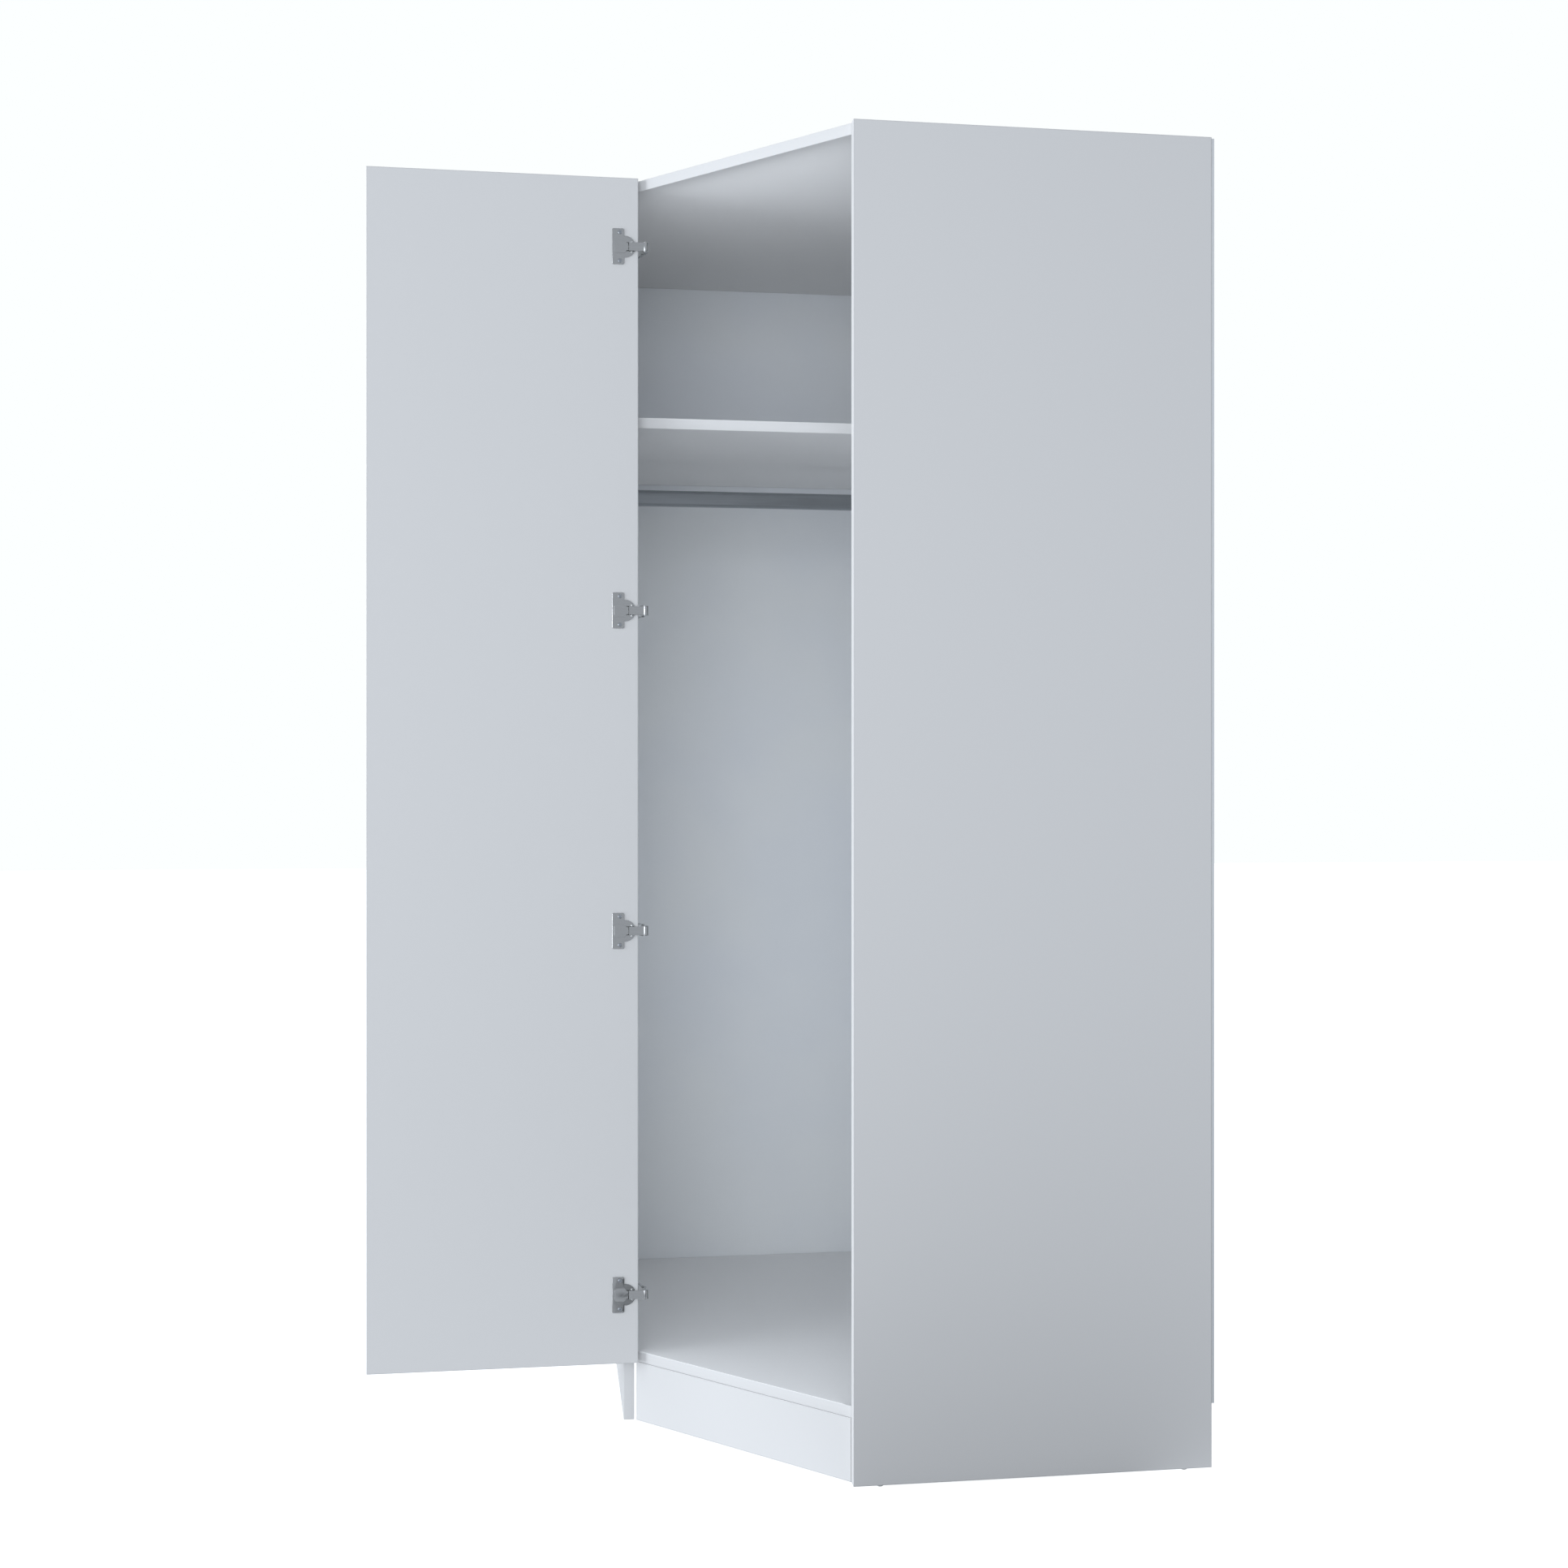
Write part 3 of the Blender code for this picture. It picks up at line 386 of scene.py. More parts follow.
# --------------------------------------------------
# Plinth
# A strip of the same board on edge, banded all round, under the floor's front edge. It is cut square and
# screwed from behind, which leaves a narrow gap beside the left side board.
# --------------------------------------------------
PLINTH_THICKNESS = 0.018

plinth_low, plinth_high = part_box("plinth")
across = math.sqrt(0.5)  # in X and in Y, for each unit along the diagonal
plinth_turn = Matrix(((across, 0, across), (-across, 0, across), (0, 1, 0)))
plinth_length = (plinth_high.x - plinth_low.x) / across - PLINTH_THICKNESS
plinth_start = Vector((plinth_low.x, plinth_high.y - across * PLINTH_THICKNESS))
along = plinth_start.x * across - plinth_start.y * across
depth = plinth_start.x * across + plinth_start.y * across
outline = rectangle((along, plinth_low.z), (along + plinth_length, plinth_high.z))
mesh = board_mesh(outline, depth, depth + PLINTH_THICKNESS, plinth_turn, ALL_ROUND)
piece("front_plinth", mesh, [], "cabinet", ["plinth"])

# --------------------------------------------------
# Rear corner
# Offcuts of the same board carry the corner that has no side: a foot, a post and a rail under the shelf.
# Their faces are melamine and their edges sawn.
# --------------------------------------------------
board("corner_foot", "rear_foot", ALONG_Y, 1, ())
board("corner_post", "rear_post", ALONG_Y, 1, (3,))
board("shelf_rail", "rear_rail", ALONG_X, 0, (0,))

# --------------------------------------------------
# Hat shelf
# A rectangle of faced board, notched round the post, banded on its front edge. It rests on the rail at the
# right and on two 5 mm steel pins at the left.
# --------------------------------------------------
low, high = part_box("hat_shelf")
post_low, post_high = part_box("rear_post")
NOTCH_GAP = 0.0003
shelf_outline = [
    (low.x, low.y),
    (high.x, low.y),
    (high.x, post_low.y - NOTCH_GAP),
    (post_low.x - NOTCH_GAP, post_low.y - NOTCH_GAP),
    (post_low.x - NOTCH_GAP, high.y),
    (low.x, high.y),
]
board("shelf_board", "hat_shelf", ALONG_Z, 2, (0,), shelf_outline)

# Zinc-plated steel, turned and barrel-plated: a bright grey with a faint blue cast and a mottled sheen.
zinc, shader = finish("zinc_plated_steel", 0.30, 1.0)
place = add(zinc, "ShaderNodeTexCoord").outputs["Object"]
mottle = add(zinc, "ShaderNodeTexNoise", {"Scale": per(1.2), "Detail": 3.0}, {"Vector": place})
tone = add(
    zinc,
    "ShaderNodeValToRGB",
    {"stops": ((0.35, "B4B9C0"), (0.65, "CCD0D5"))},
    {"Fac": mottle.outputs["Fac"]},
)
feed(zinc, shader, "Base Color", tone.outputs["Color"])
sheen = add(zinc, "ShaderNodeMapRange", {"To Min": 0.22, "To Max": 0.40}, {"Value": mottle.outputs["Fac"]})
feed(zinc, shader, "Roughness", sheen.outputs["Result"])


ROUND_SIDES = 32


def turned(profile, sides=ROUND_SIDES, direction=ALONG_Z):
    """A closed turned mesh. The profile lists (radius, height), and meets the axis where the radius is 0."""
    shape = bmesh.new()
    rings = []
    for radius, height in profile:
        spots = [(0.0, 0.0)] if radius == 0 else circle((0, 0), radius, sides)
        rings.append([shape.verts.new(direction @ Vector((u, v, height))) for u, v in spots])
    for lower, upper in zip(rings, rings[1:]):
        for i in range(sides):
            j = (i + 1) % sides
            below = [lower[i % len(lower)], lower[j % len(lower)]]
            above = [upper[j % len(upper)], upper[i % len(upper)]]
            shape.faces.new(list(dict.fromkeys(below + above)))
    for ring in (rings[0], rings[-1]):
        if len(ring) > 1:
            shape.faces.new(ring)
    bmesh.ops.recalc_face_normals(shape, faces=shape.faces)
    mesh = bpy.data.meshes.new("turned")
    shape.to_mesh(mesh)
    shape.free()
    return mesh


PIN_TIP = 0.0006
low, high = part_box("shelf_pin_front")
pin_radius = (high.z - low.z) / 2
pin_length = high.x - low.x
pin_mesh = turned(
    [
        (pin_radius - PIN_TIP, 0.0),
        (pin_radius, PIN_TIP),
        (pin_radius, pin_length - PIN_TIP),
        (pin_radius - PIN_TIP, pin_length),
    ],
    PIN_SIDES,
    ALONG_X,
)
for end in ("front", "rear"):
    low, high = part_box(f"shelf_pin_{end}")
    at = Matrix.Translation((low.x, (low.y + high.y) / 2, (low.z + high.z) / 2))
    piece(f"{end}_shelf_pin", pin_mesh, [zinc], "cabinet", [f"shelf_pin_{end}"], at)

# --------------------------------------------------
# Rear sheets
# 4 mm hardboard, lacquered white, planted on the rear edges of the boards and nailed all along them. The
# lacquer is rolled on, so it is duller than melamine and slightly stippled.
# --------------------------------------------------
SHEET_ARRIS = 0.0003
NAIL_SPACING = 0.155
NAIL_FROM_EDGE = 0.009
NAIL_RADIUS = 0.0024
NAIL_RISE = 0.0005
NAIL_HEAD = ((1.0, 0.0), (1.0, 0.5), (0.6, 1.0), (0.0, 1.1))  # shares of its radius and of its rise
NAIL_ROW_START = 0.9  # of a spacing, from the corner nail
SHEET_LAP = 0.005  # the left sheet runs this far past the board it is nailed to
SMALL_SIDES = 16

lacquer, shader = finish("hardboard_rolled_lacquer", 0.55)
place = add(lacquer, "ShaderNodeTexCoord").outputs["Object"]
stipple = add(lacquer, "ShaderNodeTexNoise", {"Scale": per(3.0), "Detail": 4.0}, {"Vector": place})
wash = add(lacquer, "ShaderNodeTexNoise", {"Scale": per(300), "Detail": 2.0}, {"Vector": place})
tone = add(
    lacquer,
    "ShaderNodeValToRGB",
    {"stops": ((0.35, "E9ECF0"), (0.65, "EEF0F1"))},
    {"Fac": wash.outputs["Fac"]},
)
feed(lacquer, shader, "Base Color", tone.outputs["Color"])
sheen = add(
    lacquer, "ShaderNodeMapRange", {"To Min": 0.48, "To Max": 0.64}, {"Value": stipple.outputs["Fac"]}
)
feed(lacquer, shader, "Roughness", sheen.outputs["Result"])
skin = add(
    lacquer, "ShaderNodeBump", {"Strength": 0.15, "Distance": 0.0003}, {"Height": stipple.outputs["Fac"]}
)
feed(lacquer, shader, "Normal", skin.outputs["Normal"])


def box_mesh(low, high, radius):
    return softened(prism(rectangle(low, high), low.z, high.z), radius, 2)


def nail_rows(rows):
    """Nail places along rows from one end to the other, evenly spaced."""
    places = []
    for start, end in rows:
        start, end = Vector(start), Vector(end)
        count = round((end - start).length / NAIL_SPACING)
        places += [tuple(start.lerp(end, i / count)) for i in range(count + 1)]
    return places


def nails(name, places, direction, height):
    """Nail heads: low domes on the sheet's outer face."""
    shape = bmesh.new()
    profile = [(NAIL_RADIUS * share, NAIL_RISE * up) for share, up in NAIL_HEAD]
    head = turned(profile, SMALL_SIDES, direction)
    for u, v in places:
        copy = head.copy()
        copy.transform(Matrix.Translation(direction @ Vector((u, v, height))))
        shape.from_mesh(copy)
    mesh = bpy.data.meshes.new(name)
    shape.to_mesh(mesh)
    shape.free()
    piece(name, mesh, [zinc], "cabinet")


for side, direction, flat in (("left", ALONG_Y, 1), ("right", ALONG_X, 0)):
    low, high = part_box(f"rear_sheet_{side}")
    sheet = box_mesh(low, high, SHEET_ARRIS)
    piece(f"{side}_back", sheet, [lacquer], "cabinet", [f"rear_sheet_{side}"])
    across_axis = 1 - flat
    first = low[across_axis] + NAIL_FROM_EDGE
    last = high[across_axis] - NAIL_FROM_EDGE - (SHEET_LAP if side == "left" else 0.0)
    floor_line = low.z + NAIL_FROM_EDGE
    roof_line = high.z - NAIL_FROM_EDGE
    step = NAIL_SPACING * NAIL_ROW_START
    rows = [
        ((first, floor_line), (first, roof_line)),
        ((last, floor_line), (last, roof_line)),
        ((first + step, floor_line), (last - step, floor_line)),
        ((first + step, roof_line), (last - step, roof_line)),
    ]
    nails(f"{side}_back_nails", nail_rows(rows), direction, high[flat])

# --------------------------------------------------
# Hanging rail
# A 30 by 15 mm oval tube, roll-formed from steel strip and satin-chromed, in two die-cast sockets that are
# screwed to the left side and to the shelf's rail.
# --------------------------------------------------
TUBE_WALL = 0.0012
SOCKET_BASE = 0.003
SOCKET_FIT = 0.0003
SOCKET_ARRIS = 0.0009
CORNERS_ONLY = 60.0  # degrees: rounds corners and leaves the facets of curves

# Satin chrome on roll-formed steel: a soft, cool grey mirror, drawn out along the tube by fine polishing
# lines. The lines are about 1 mm apart, coarser than real ones, which would not show.
satin_chrome, shader = finish("satin_chrome_on_steel", 0.30, 1.0)
place = add(satin_chrome, "ShaderNodeTexCoord").outputs["Object"]
stretched = add(
    satin_chrome, "ShaderNodeMapping", {"Scale": (per(60), per(1.0), per(1.0))}, {"Vector": place}
)
stretched = stretched.outputs["Vector"]
lines = add(satin_chrome, "ShaderNodeTexNoise", {"Scale": 1.0, "Detail": 2.0}, {"Vector": stretched})
tone = add(
    satin_chrome,
    "ShaderNodeValToRGB",
    {"stops": ((0.35, "9DA1A5"), (0.65, "A4A8AC"))},
    {"Fac": lines.outputs["Fac"]},
)
feed(satin_chrome, shader, "Base Color", tone.outputs["Color"])
sheen = add(
    satin_chrome, "ShaderNodeMapRange", {"To Min": 0.24, "To Max": 0.40}, {"Value": lines.outputs["Fac"]}
)
feed(satin_chrome, shader, "Roughness", sheen.outputs["Result"])
draw_marks = add(
    satin_chrome, "ShaderNodeBump", {"Strength": 0.05, "Distance": 0.0001}, {"Height": lines.outputs["Fac"]}
)
feed(satin_chrome, shader, "Normal", draw_marks.outputs["Normal"])


def oval(height, thickness, steps=16):
    """A flat-sided oval, standing on its narrow end."""
    radius = thickness / 2
    straight = height / 2 - radius
    points = []
    for end in (1, -1):
        for k in range(steps + 1):
            turn = math.pi * k / steps + (0 if end > 0 else math.pi)
            points.append((radius * math.cos(turn), end * straight + radius * math.sin(turn)))
    return points


rail_low, rail_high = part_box("hanging_rail")
rail_height = rail_high.z - rail_low.z
rail_thickness = rail_high.y - rail_low.y
rail_at = Matrix.Translation((0.0, (rail_low.y + rail_high.y) / 2, (rail_low.z + rail_high.z) / 2))
hollow = oval(rail_height - 2 * TUBE_WALL, rail_thickness - 2 * TUBE_WALL)
tube = carved(
    prism(oval(rail_height, rail_thickness), rail_low.x, rail_high.x, ALONG_X),
    [("DIFFERENCE", prism(hollow, rail_low.x - OVERCUT, rail_high.x + OVERCUT, ALONG_X))],
)
piece("rail_tube", tube, [satin_chrome], "cabinet", ["hanging_rail"], rail_at)
for side, inward in (("left", 1), ("right", -1)):
    low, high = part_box(f"rail_socket_{side}")
    base = low.x if inward > 0 else high.x
    tip = high.x if inward > 0 else low.x
    outer = oval(high.z - low.z, high.y - low.y)
    pocket = oval(rail_height + 2 * SOCKET_FIT, rail_thickness + 2 * SOCKET_FIT)
    cut = sorted((base + inward * SOCKET_BASE, tip + inward * OVERCUT))
    socket = carved(prism(outer, low.x, high.x, ALONG_X), [("DIFFERENCE", prism(pocket, *cut, ALONG_X))])
    softened(socket, SOCKET_ARRIS, 3, CORNERS_ONLY)
    node = f"rail_socket_{side}"
    piece(f"{side}_rail_socket", socket, [satin_chrome], "cabinet", [node], rail_at)

# --------------------------------------------------
# Glides
# Moulded white polypropylene discs with a domed sole, which keep the boards' edges off the floor. Each is
# nailed through its middle into the edge of a board.
# --------------------------------------------------
GLIDE_PROFILE = (  # shares of the radius and of the height, from the middle of the sole
    (0.0, 0.25),
    (0.30, 0.25),
    (0.36, 0.0),
    (0.74, 0.0),
    (0.93, 0.16),
    (1.0, 0.42),
    (1.0, 1.0),
)

# Polypropylene, injection-moulded: a waxy off-white, satin, with faint flow marks.
plastic, shader = finish("polypropylene_moulded_white", 0.45)
place = add(plastic, "ShaderNodeTexCoord").outputs["Object"]
flow = add(plastic, "ShaderNodeTexNoise", {"Scale": per(4), "Detail": 2.0}, {"Vector": place})
tone = add(
    plastic,
    "ShaderNodeValToRGB",
    {"stops": ((0.35, "D9DAD8"), (0.65, "E4E5E3"))},
    {"Fac": flow.outputs["Fac"]},
)
feed(plastic, shader, "Base Color", tone.outputs["Color"])
sheen = add(plastic, "ShaderNodeMapRange", {"To Min": 0.38, "To Max": 0.52}, {"Value": flow.outputs["Fac"]})
feed(plastic, shader, "Roughness", sheen.outputs["Result"])

low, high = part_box("glide_corner")
glide_radius = (high.x - low.x) / 2
glide_height = high.z - low.z
glide_mesh = turned([(glide_radius * share, glide_height * up) for share, up in GLIDE_PROFILE])
for spot in ("right_front", "right_rear", "left_front", "left_rear", "corner"):
    low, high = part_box(f"glide_{spot}")
    at = Matrix.Translation(((low.x + high.x) / 2, (low.y + high.y) / 2, low.z))
    piece(f"{spot}_glide", glide_mesh, [plastic], "cabinet", [f"glide_{spot}"], at)

# --------------------------------------------------
# Door
# One tall leaf of the faced chipboard, banded all round. It is bored 12 mm deep for its four hinge cups,
# with two pilot holes beside each, and hangs on the left side board.
CUP_BORE = 0.0175
CUP_BORE_DEPTH = 0.012
CUP_RIM = 0.0182
CUP_SCREW_SPACING = 0.048
CUP_SCREW_OFFSET = 0.0086  # from the cup's centre, away from the hinge edge
CUP_SCREW_BORE = 0.0018
CUP_SCREW_LENGTH = 0.013

door_low, door_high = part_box("door")
cup_places = {}
for height in HINGES:
    low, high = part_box(f"hinge_cup_{height}")
    cup_places[height] = Vector((high.x - CUP_RIM, door_low.y, (low.z + high.z) / 2))
door_bores = []
for cup in cup_places.values():
    outline = circle((cup.x, cup.z), CUP_BORE)
    hole = prism(outline, door_low.y - OVERCUT, door_low.y + CUP_BORE_DEPTH, ALONG_Y)
    door_bores.append(("DIFFERENCE", hole))
    for side in (-1, 1):
        spot = (cup.x - CUP_SCREW_OFFSET, cup.z + side * CUP_SCREW_SPACING / 2)
        outline = circle(spot, CUP_SCREW_BORE, SMALL_SIDES)
        hole = prism(outline, door_low.y - OVERCUT, door_low.y + CUP_SCREW_LENGTH, ALONG_Y)
        door_bores.append(("DIFFERENCE", hole))
board("door_leaf", "door", ALONG_Y, 1, ALL_ROUND, bores=door_bores, body="door")

# --------------------------------------------------
# Hinge cups
# Deep-drawn steel cups, nickel-plated, with a flat flange that is screwed to the door and a folded cover
# clipped over it. A shallow lid with a slot for the link closes the rest of the cup.
# --------------------------------------------------
CUP_OUTER = 0.0172
CUP_INNER = 0.0162
CUP_FLOOR = -0.0107
RIM_LOW = 0.0003
RIM_TOP = 0.0011
LID_UNDERSIDE = 0.0002
LIP_INNER = 0.0166
LIP_DEPTH = 0.0003
SLOT_HALF = 0.0075
FLANGE = ((0.0013, -0.03025), (0.0218, 0.03025))
FLANGE_SPAN = (-0.04, 0.04)
FLANGE_CORNER = 0.0028
FLANGE_TOP = 0.0015
FLANGE_LAP = 0.001  # the rolled section starts this far inside the flange
ROLL_FOOT = 0.0001
COVER_TOP = 0.0023
COVER_CORNER = 0.0008
COVER_ARRIS = 0.0004
LID_CUT = 0.0005
CUP_SIDES = 64
COVER = [
    (-0.0057, -0.0064),
    (-0.0030, -0.0064),
    (0.0015, -0.0111),
    (0.0149, -0.0111),
    (0.0185, -0.0075),
    (0.0185, 0.0075),
    (0.0149, 0.0111),
    (0.0015, 0.0111),
    (-0.0030, 0.0064),
    (-0.0057, 0.0064),
]
LUG_RADIUS = 0.0021
LUG_LOW = 0.0075
LUG_HIGH = 0.0099
DIMPLE = 0.0041
DIMPLE_DEPTH = 0.0004
PRESS_ARRIS = 0.00025

# Nickel plate on pressed steel: a warm grey mirror, dulled by the sheet's rolling lines and by handling.
nickel, shader = finish("nickel_plated_steel", 0.24, 1.0)
place = add(nickel, "ShaderNodeTexCoord").outputs["Object"]
stretched = add(nickel, "ShaderNodeMapping", {"Scale": (per(8), per(8), per(0.6))}, {"Vector": place})
stretched = stretched.outputs["Vector"]
rolling = add(nickel, "ShaderNodeTexNoise", {"Scale": 1.0, "Detail": 3.0}, {"Vector": stretched})
tone = add(
    nickel,
    "ShaderNodeValToRGB",
    {"stops": ((0.35, "CDCECE"), (0.65, "D3D4D4"))},
    {"Fac": rolling.outputs["Fac"]},
)
feed(nickel, shader, "Base Color", tone.outputs["Color"])
sheen = add(
    nickel, "ShaderNodeMapRange", {"To Min": 0.17, "To Max": 0.29}, {"Value": rolling.outputs["Fac"]}
)
feed(nickel, shader, "Roughness", sheen.outputs["Result"])
marks = add(
    nickel, "ShaderNodeBump", {"Strength": 0.10, "Distance": 0.00005}, {"Height": rolling.outputs["Fac"]}
)
feed(nickel, shader, "Normal", marks.outputs["Normal"])


def rounded(outline, radius, steps=6):
    """The outline with each corner replaced by an arc."""
    points = []
    for i, corner in enumerate(outline):
        here = Vector(corner)
        back = (Vector(outline[i - 1]) - here).normalized()
        ahead = (Vector(outline[(i + 1) % len(outline)]) - here).normalized()
        half = back.angle(ahead) / 2
        middle = here + (back + ahead).normalized() * (radius / math.sin(half))
        start = here + back * (radius / math.tan(half)) - middle
        end = here + ahead * (radius / math.tan(half)) - middle
        sweep = start.angle_signed(end)
        for k in range(steps + 1):
            spoke = start.copy()
            spoke.rotate(Matrix.Rotation(-sweep * k / steps, 2))
            points.append(tuple(middle + spoke))
    return points


def arc(centre, radius, first, last, steps=8):
    turns = [first + (last - first) * k / steps for k in range(steps + 1)]
    return [(centre[0] + radius * math.cos(a), centre[1] + radius * math.sin(a)) for a in turns]


joint_places = {joint["name"]: Vector(joint["pos_m"]) for joint in frame["joints"]}
cup_pivot = joint_places["inner_link_turn"]


def flange_section():
    """The flange's cross-section, with its far edge rolled over."""
    near, far = FLANGE[0][0] - FLANGE_LAP, FLANGE[1][0]
    roll = FLANGE_TOP - RIM_LOW - ROLL_FOOT
    rolled_edge = arc((far - roll, FLANGE_TOP - roll), roll, 0, math.pi / 2)
    return [(near, RIM_LOW), (far, RIM_LOW), *rolled_edge, (near, FLANGE_TOP)]


def cup_mesh():
    """Its frame is at the cup's centre, on the door's face, X away from the hinge edge and Y outwards."""
    deep = CUP_FLOOR - (CUP_OUTER - CUP_INNER)
    barrel = prism(circle((0, 0), CUP_OUTER, CUP_SIDES), deep, RIM_TOP, ALONG_Y)
    slot = rectangle((-LIP_INNER, -SLOT_HALF), (0.0, SLOT_HALF))
    flange = carved(
        prism(rounded(rectangle(*FLANGE), FLANGE_CORNER), RIM_LOW, FLANGE_TOP, ALONG_Y),
        [("INTERSECT", prism(flange_section(), *FLANGE_SPAN))],
    )
    softened(flange, PRESS_ARRIS, 2, CORNERS_ONLY)
    cover = prism(rounded(COVER, COVER_CORNER), RIM_LOW, COVER_TOP, ALONG_Y)
    softened(cover, COVER_ARRIS, 3, CORNERS_ONLY)
    steps = [
        ("UNION", prism(circle((0, 0), CUP_RIM, CUP_SIDES), RIM_LOW, RIM_TOP, ALONG_Y)),
        ("DIFFERENCE", prism(circle((0, 0), LIP_INNER, CUP_SIDES), RIM_TOP - LIP_DEPTH, OVERCUT, ALONG_Y)),
        ("DIFFERENCE", prism(circle((0, 0), CUP_INNER, CUP_SIDES), CUP_FLOOR, LID_UNDERSIDE, ALONG_Y)),
        ("DIFFERENCE", prism(slot, LID_UNDERSIDE - LID_CUT, OVERCUT, ALONG_Y)),
        ("UNION", flange),
    ]
    centre = cup_places["top"]
    lug_spot = (centre.x - cup_pivot.x, centre.y - cup_pivot.y)
    for side in (-1, 1):
        span = sorted((side * LUG_LOW, side * LUG_HIGH))
        lug = prism(circle(lug_spot, LUG_RADIUS, PIN_SIDES), *span)
        steps.append(("UNION", softened(lug, PRESS_ARRIS, 2, CORNERS_ONLY)))
    for side in (-1, 1):
        spot = (CUP_SCREW_OFFSET, side * CUP_SCREW_SPACING / 2)
        dimple = prism(circle(spot, DIMPLE, ROUND_SIDES), FLANGE_TOP - DIMPLE_DEPTH, OVERCUT, ALONG_Y)
        bore = prism(circle(spot, CUP_SCREW_BORE, SMALL_SIDES), -OVERCUT, OVERCUT, ALONG_Y)
        steps += [("DIFFERENCE", dimple), ("DIFFERENCE", bore)]
    steps.append(("UNION", cover))
    return carved(barrel, steps)


# The open door is half a turn round from the frame that the hinge is drawn in.
HALF_TURN = Matrix.Rotation(math.pi, 4, "Z")
cup = cup_mesh()
for height, spot in cup_places.items():
    at = Matrix.Translation(spot) @ HALF_TURN
    piece(f"{height}_cup", cup, [nickel], "door", [f"hinge_cup_{height}"], at)

# --------------------------------------------------
# Cup screws and pins
# Zinc-plated chipboard screws with a low domed head and a cross recess, and the steel pin that each cup
# holds for its inner link.
# --------------------------------------------------
SCREW_HEAD = 0.0033
SCREW_HEAD_LOW = 0.0012
SCREW_HEAD_RISE = 0.0012
SCREW_CORE = 0.0010
SCREW_THREAD = 0.0015
THREAD_PITCH = 0.0014
RECESS_LONG = 0.0020
RECESS_HALF = 0.0005
RECESS_DEPTH = 0.0009
SCREW_POINT = 0.0005  # short of the hole's bottom
THREAD_START = 0.0015  # from the hole's bottom
PLAIN_SHANK = 0.002
DOME_FOOT = 0.0003  # the straight rim under a domed head
CUP_PIN_TIP = 0.7  # of its radius
CUP_PIN_CHAMFER = 0.0004


def cross_recess(reach, half, bottom, direction):
    """Two crossed slots, for cutting a driver's recess."""
    tall = bottom + OVERCUT
    return [
        ("DIFFERENCE", prism(rectangle((-reach, -half), (reach, half)), bottom, tall, direction)),
        ("DIFFERENCE", prism(rectangle((-half, -reach), (half, reach)), bottom, tall, direction)),
    ]


def dome(radius, low, rise, steps=5):
    """The profile of a low dome, from its foot to its crown."""
    return [
        (radius * math.cos(math.pi / 2 * k / steps), low + rise * math.sin(math.pi / 2 * k / steps))
        for k in range(steps)
    ] + [(0, low + rise)]


def screw_mesh(direction):
    """Its frame is on the door's face: the thread runs into the board and the head stands out of it."""
    profile = [(0, SCREW_POINT - CUP_SCREW_LENGTH)]
    turns = int((CUP_SCREW_LENGTH - PLAIN_SHANK) / THREAD_PITCH)
    for i in range(turns):
        foot = THREAD_START - CUP_SCREW_LENGTH + i * THREAD_PITCH
        profile += [(SCREW_CORE, foot), (SCREW_THREAD, foot + THREAD_PITCH / 2)]
    profile += [(SCREW_CORE, 0.0), (SCREW_THREAD, SCREW_HEAD_LOW), (SCREW_HEAD, SCREW_HEAD_LOW)]
    profile += dome(SCREW_HEAD, SCREW_HEAD_LOW + DOME_FOOT, SCREW_HEAD_RISE)
    body = turned(profile, ROUND_SIDES, direction)
    bottom = SCREW_HEAD_LOW + SCREW_HEAD_RISE + DOME_FOOT - RECESS_DEPTH
    return carved(body, cross_recess(RECESS_LONG, RECESS_HALF, bottom, direction))


cup_screw = screw_mesh(ALONG_Y)
pin_low, pin_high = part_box("cup_pin_top")
cup_pin_radius = (pin_high.x - pin_low.x) / 2
cup_pin_half = (pin_high.z - pin_low.z) / 2
cup_pin = turned(
    [
        (cup_pin_radius * CUP_PIN_TIP, -cup_pin_half),
        (cup_pin_radius, -cup_pin_half + CUP_PIN_CHAMFER),
        (cup_pin_radius, cup_pin_half - CUP_PIN_CHAMFER),
        (cup_pin_radius * CUP_PIN_TIP, cup_pin_half),
    ]
)
for height, spot in cup_places.items():
    for letter, side in (("a", 1), ("b", -1)):
        head = Vector((spot.x - CUP_SCREW_OFFSET, spot.y, spot.z + side * CUP_SCREW_SPACING / 2))
        at = Matrix.Translation(head) @ HALF_TURN
        node = f"cup_screw_{height}_{letter}"
        piece(f"{height}_cup_screw_{letter}", cup_screw, [zinc], "door", [node], at)
    at = Matrix.Translation((cup_pivot.x, cup_pivot.y, spot.z))
    piece(f"{height}_cup_pin", cup_pin, [zinc], "door", [f"cup_pin_{height}"], at)

# --------------------------------------------------
# Links
# Pressed steel, nickel-plated. The inner link is a strip, rolled round the cup's pin at one end and round
# the knuckle pin at the other. The outer link is a small channel, riveted between the arm's ears.
STRIP_HALF = 0.0070
STRIP_LOW = 0.0009
STRIP_HIGH = 0.0033
STRIP_ARRIS = 0.0005
ROLL = 0.0024
KNUCKLE = 0.0028
KNUCKLE_BORE = 0.0013
PIN_PLAY = 0.0003
TAIL = 0.0053
KNUCKLE_FROM_DOOR = (0.01207, 0.0025)  # past the open door's edge, and proud of its face
CHEEK_LOW = 0.0073
CHEEK_HIGH = 0.0083
WEB_NEAR = 0.0042
WEB_FAR = 0.0052
RIVET = 0.0021
RIVET_RISE = 0.0005
RIVET_FOOT = 0.0002
NECK_LAP = 0.0004
PIN_SOCKET = 0.001
THROUGH = 0.02  # half the length of a cut right through a link
KNUCKLE_SIDES = 40
BENDS = 50.0  # degrees: rounds bends too

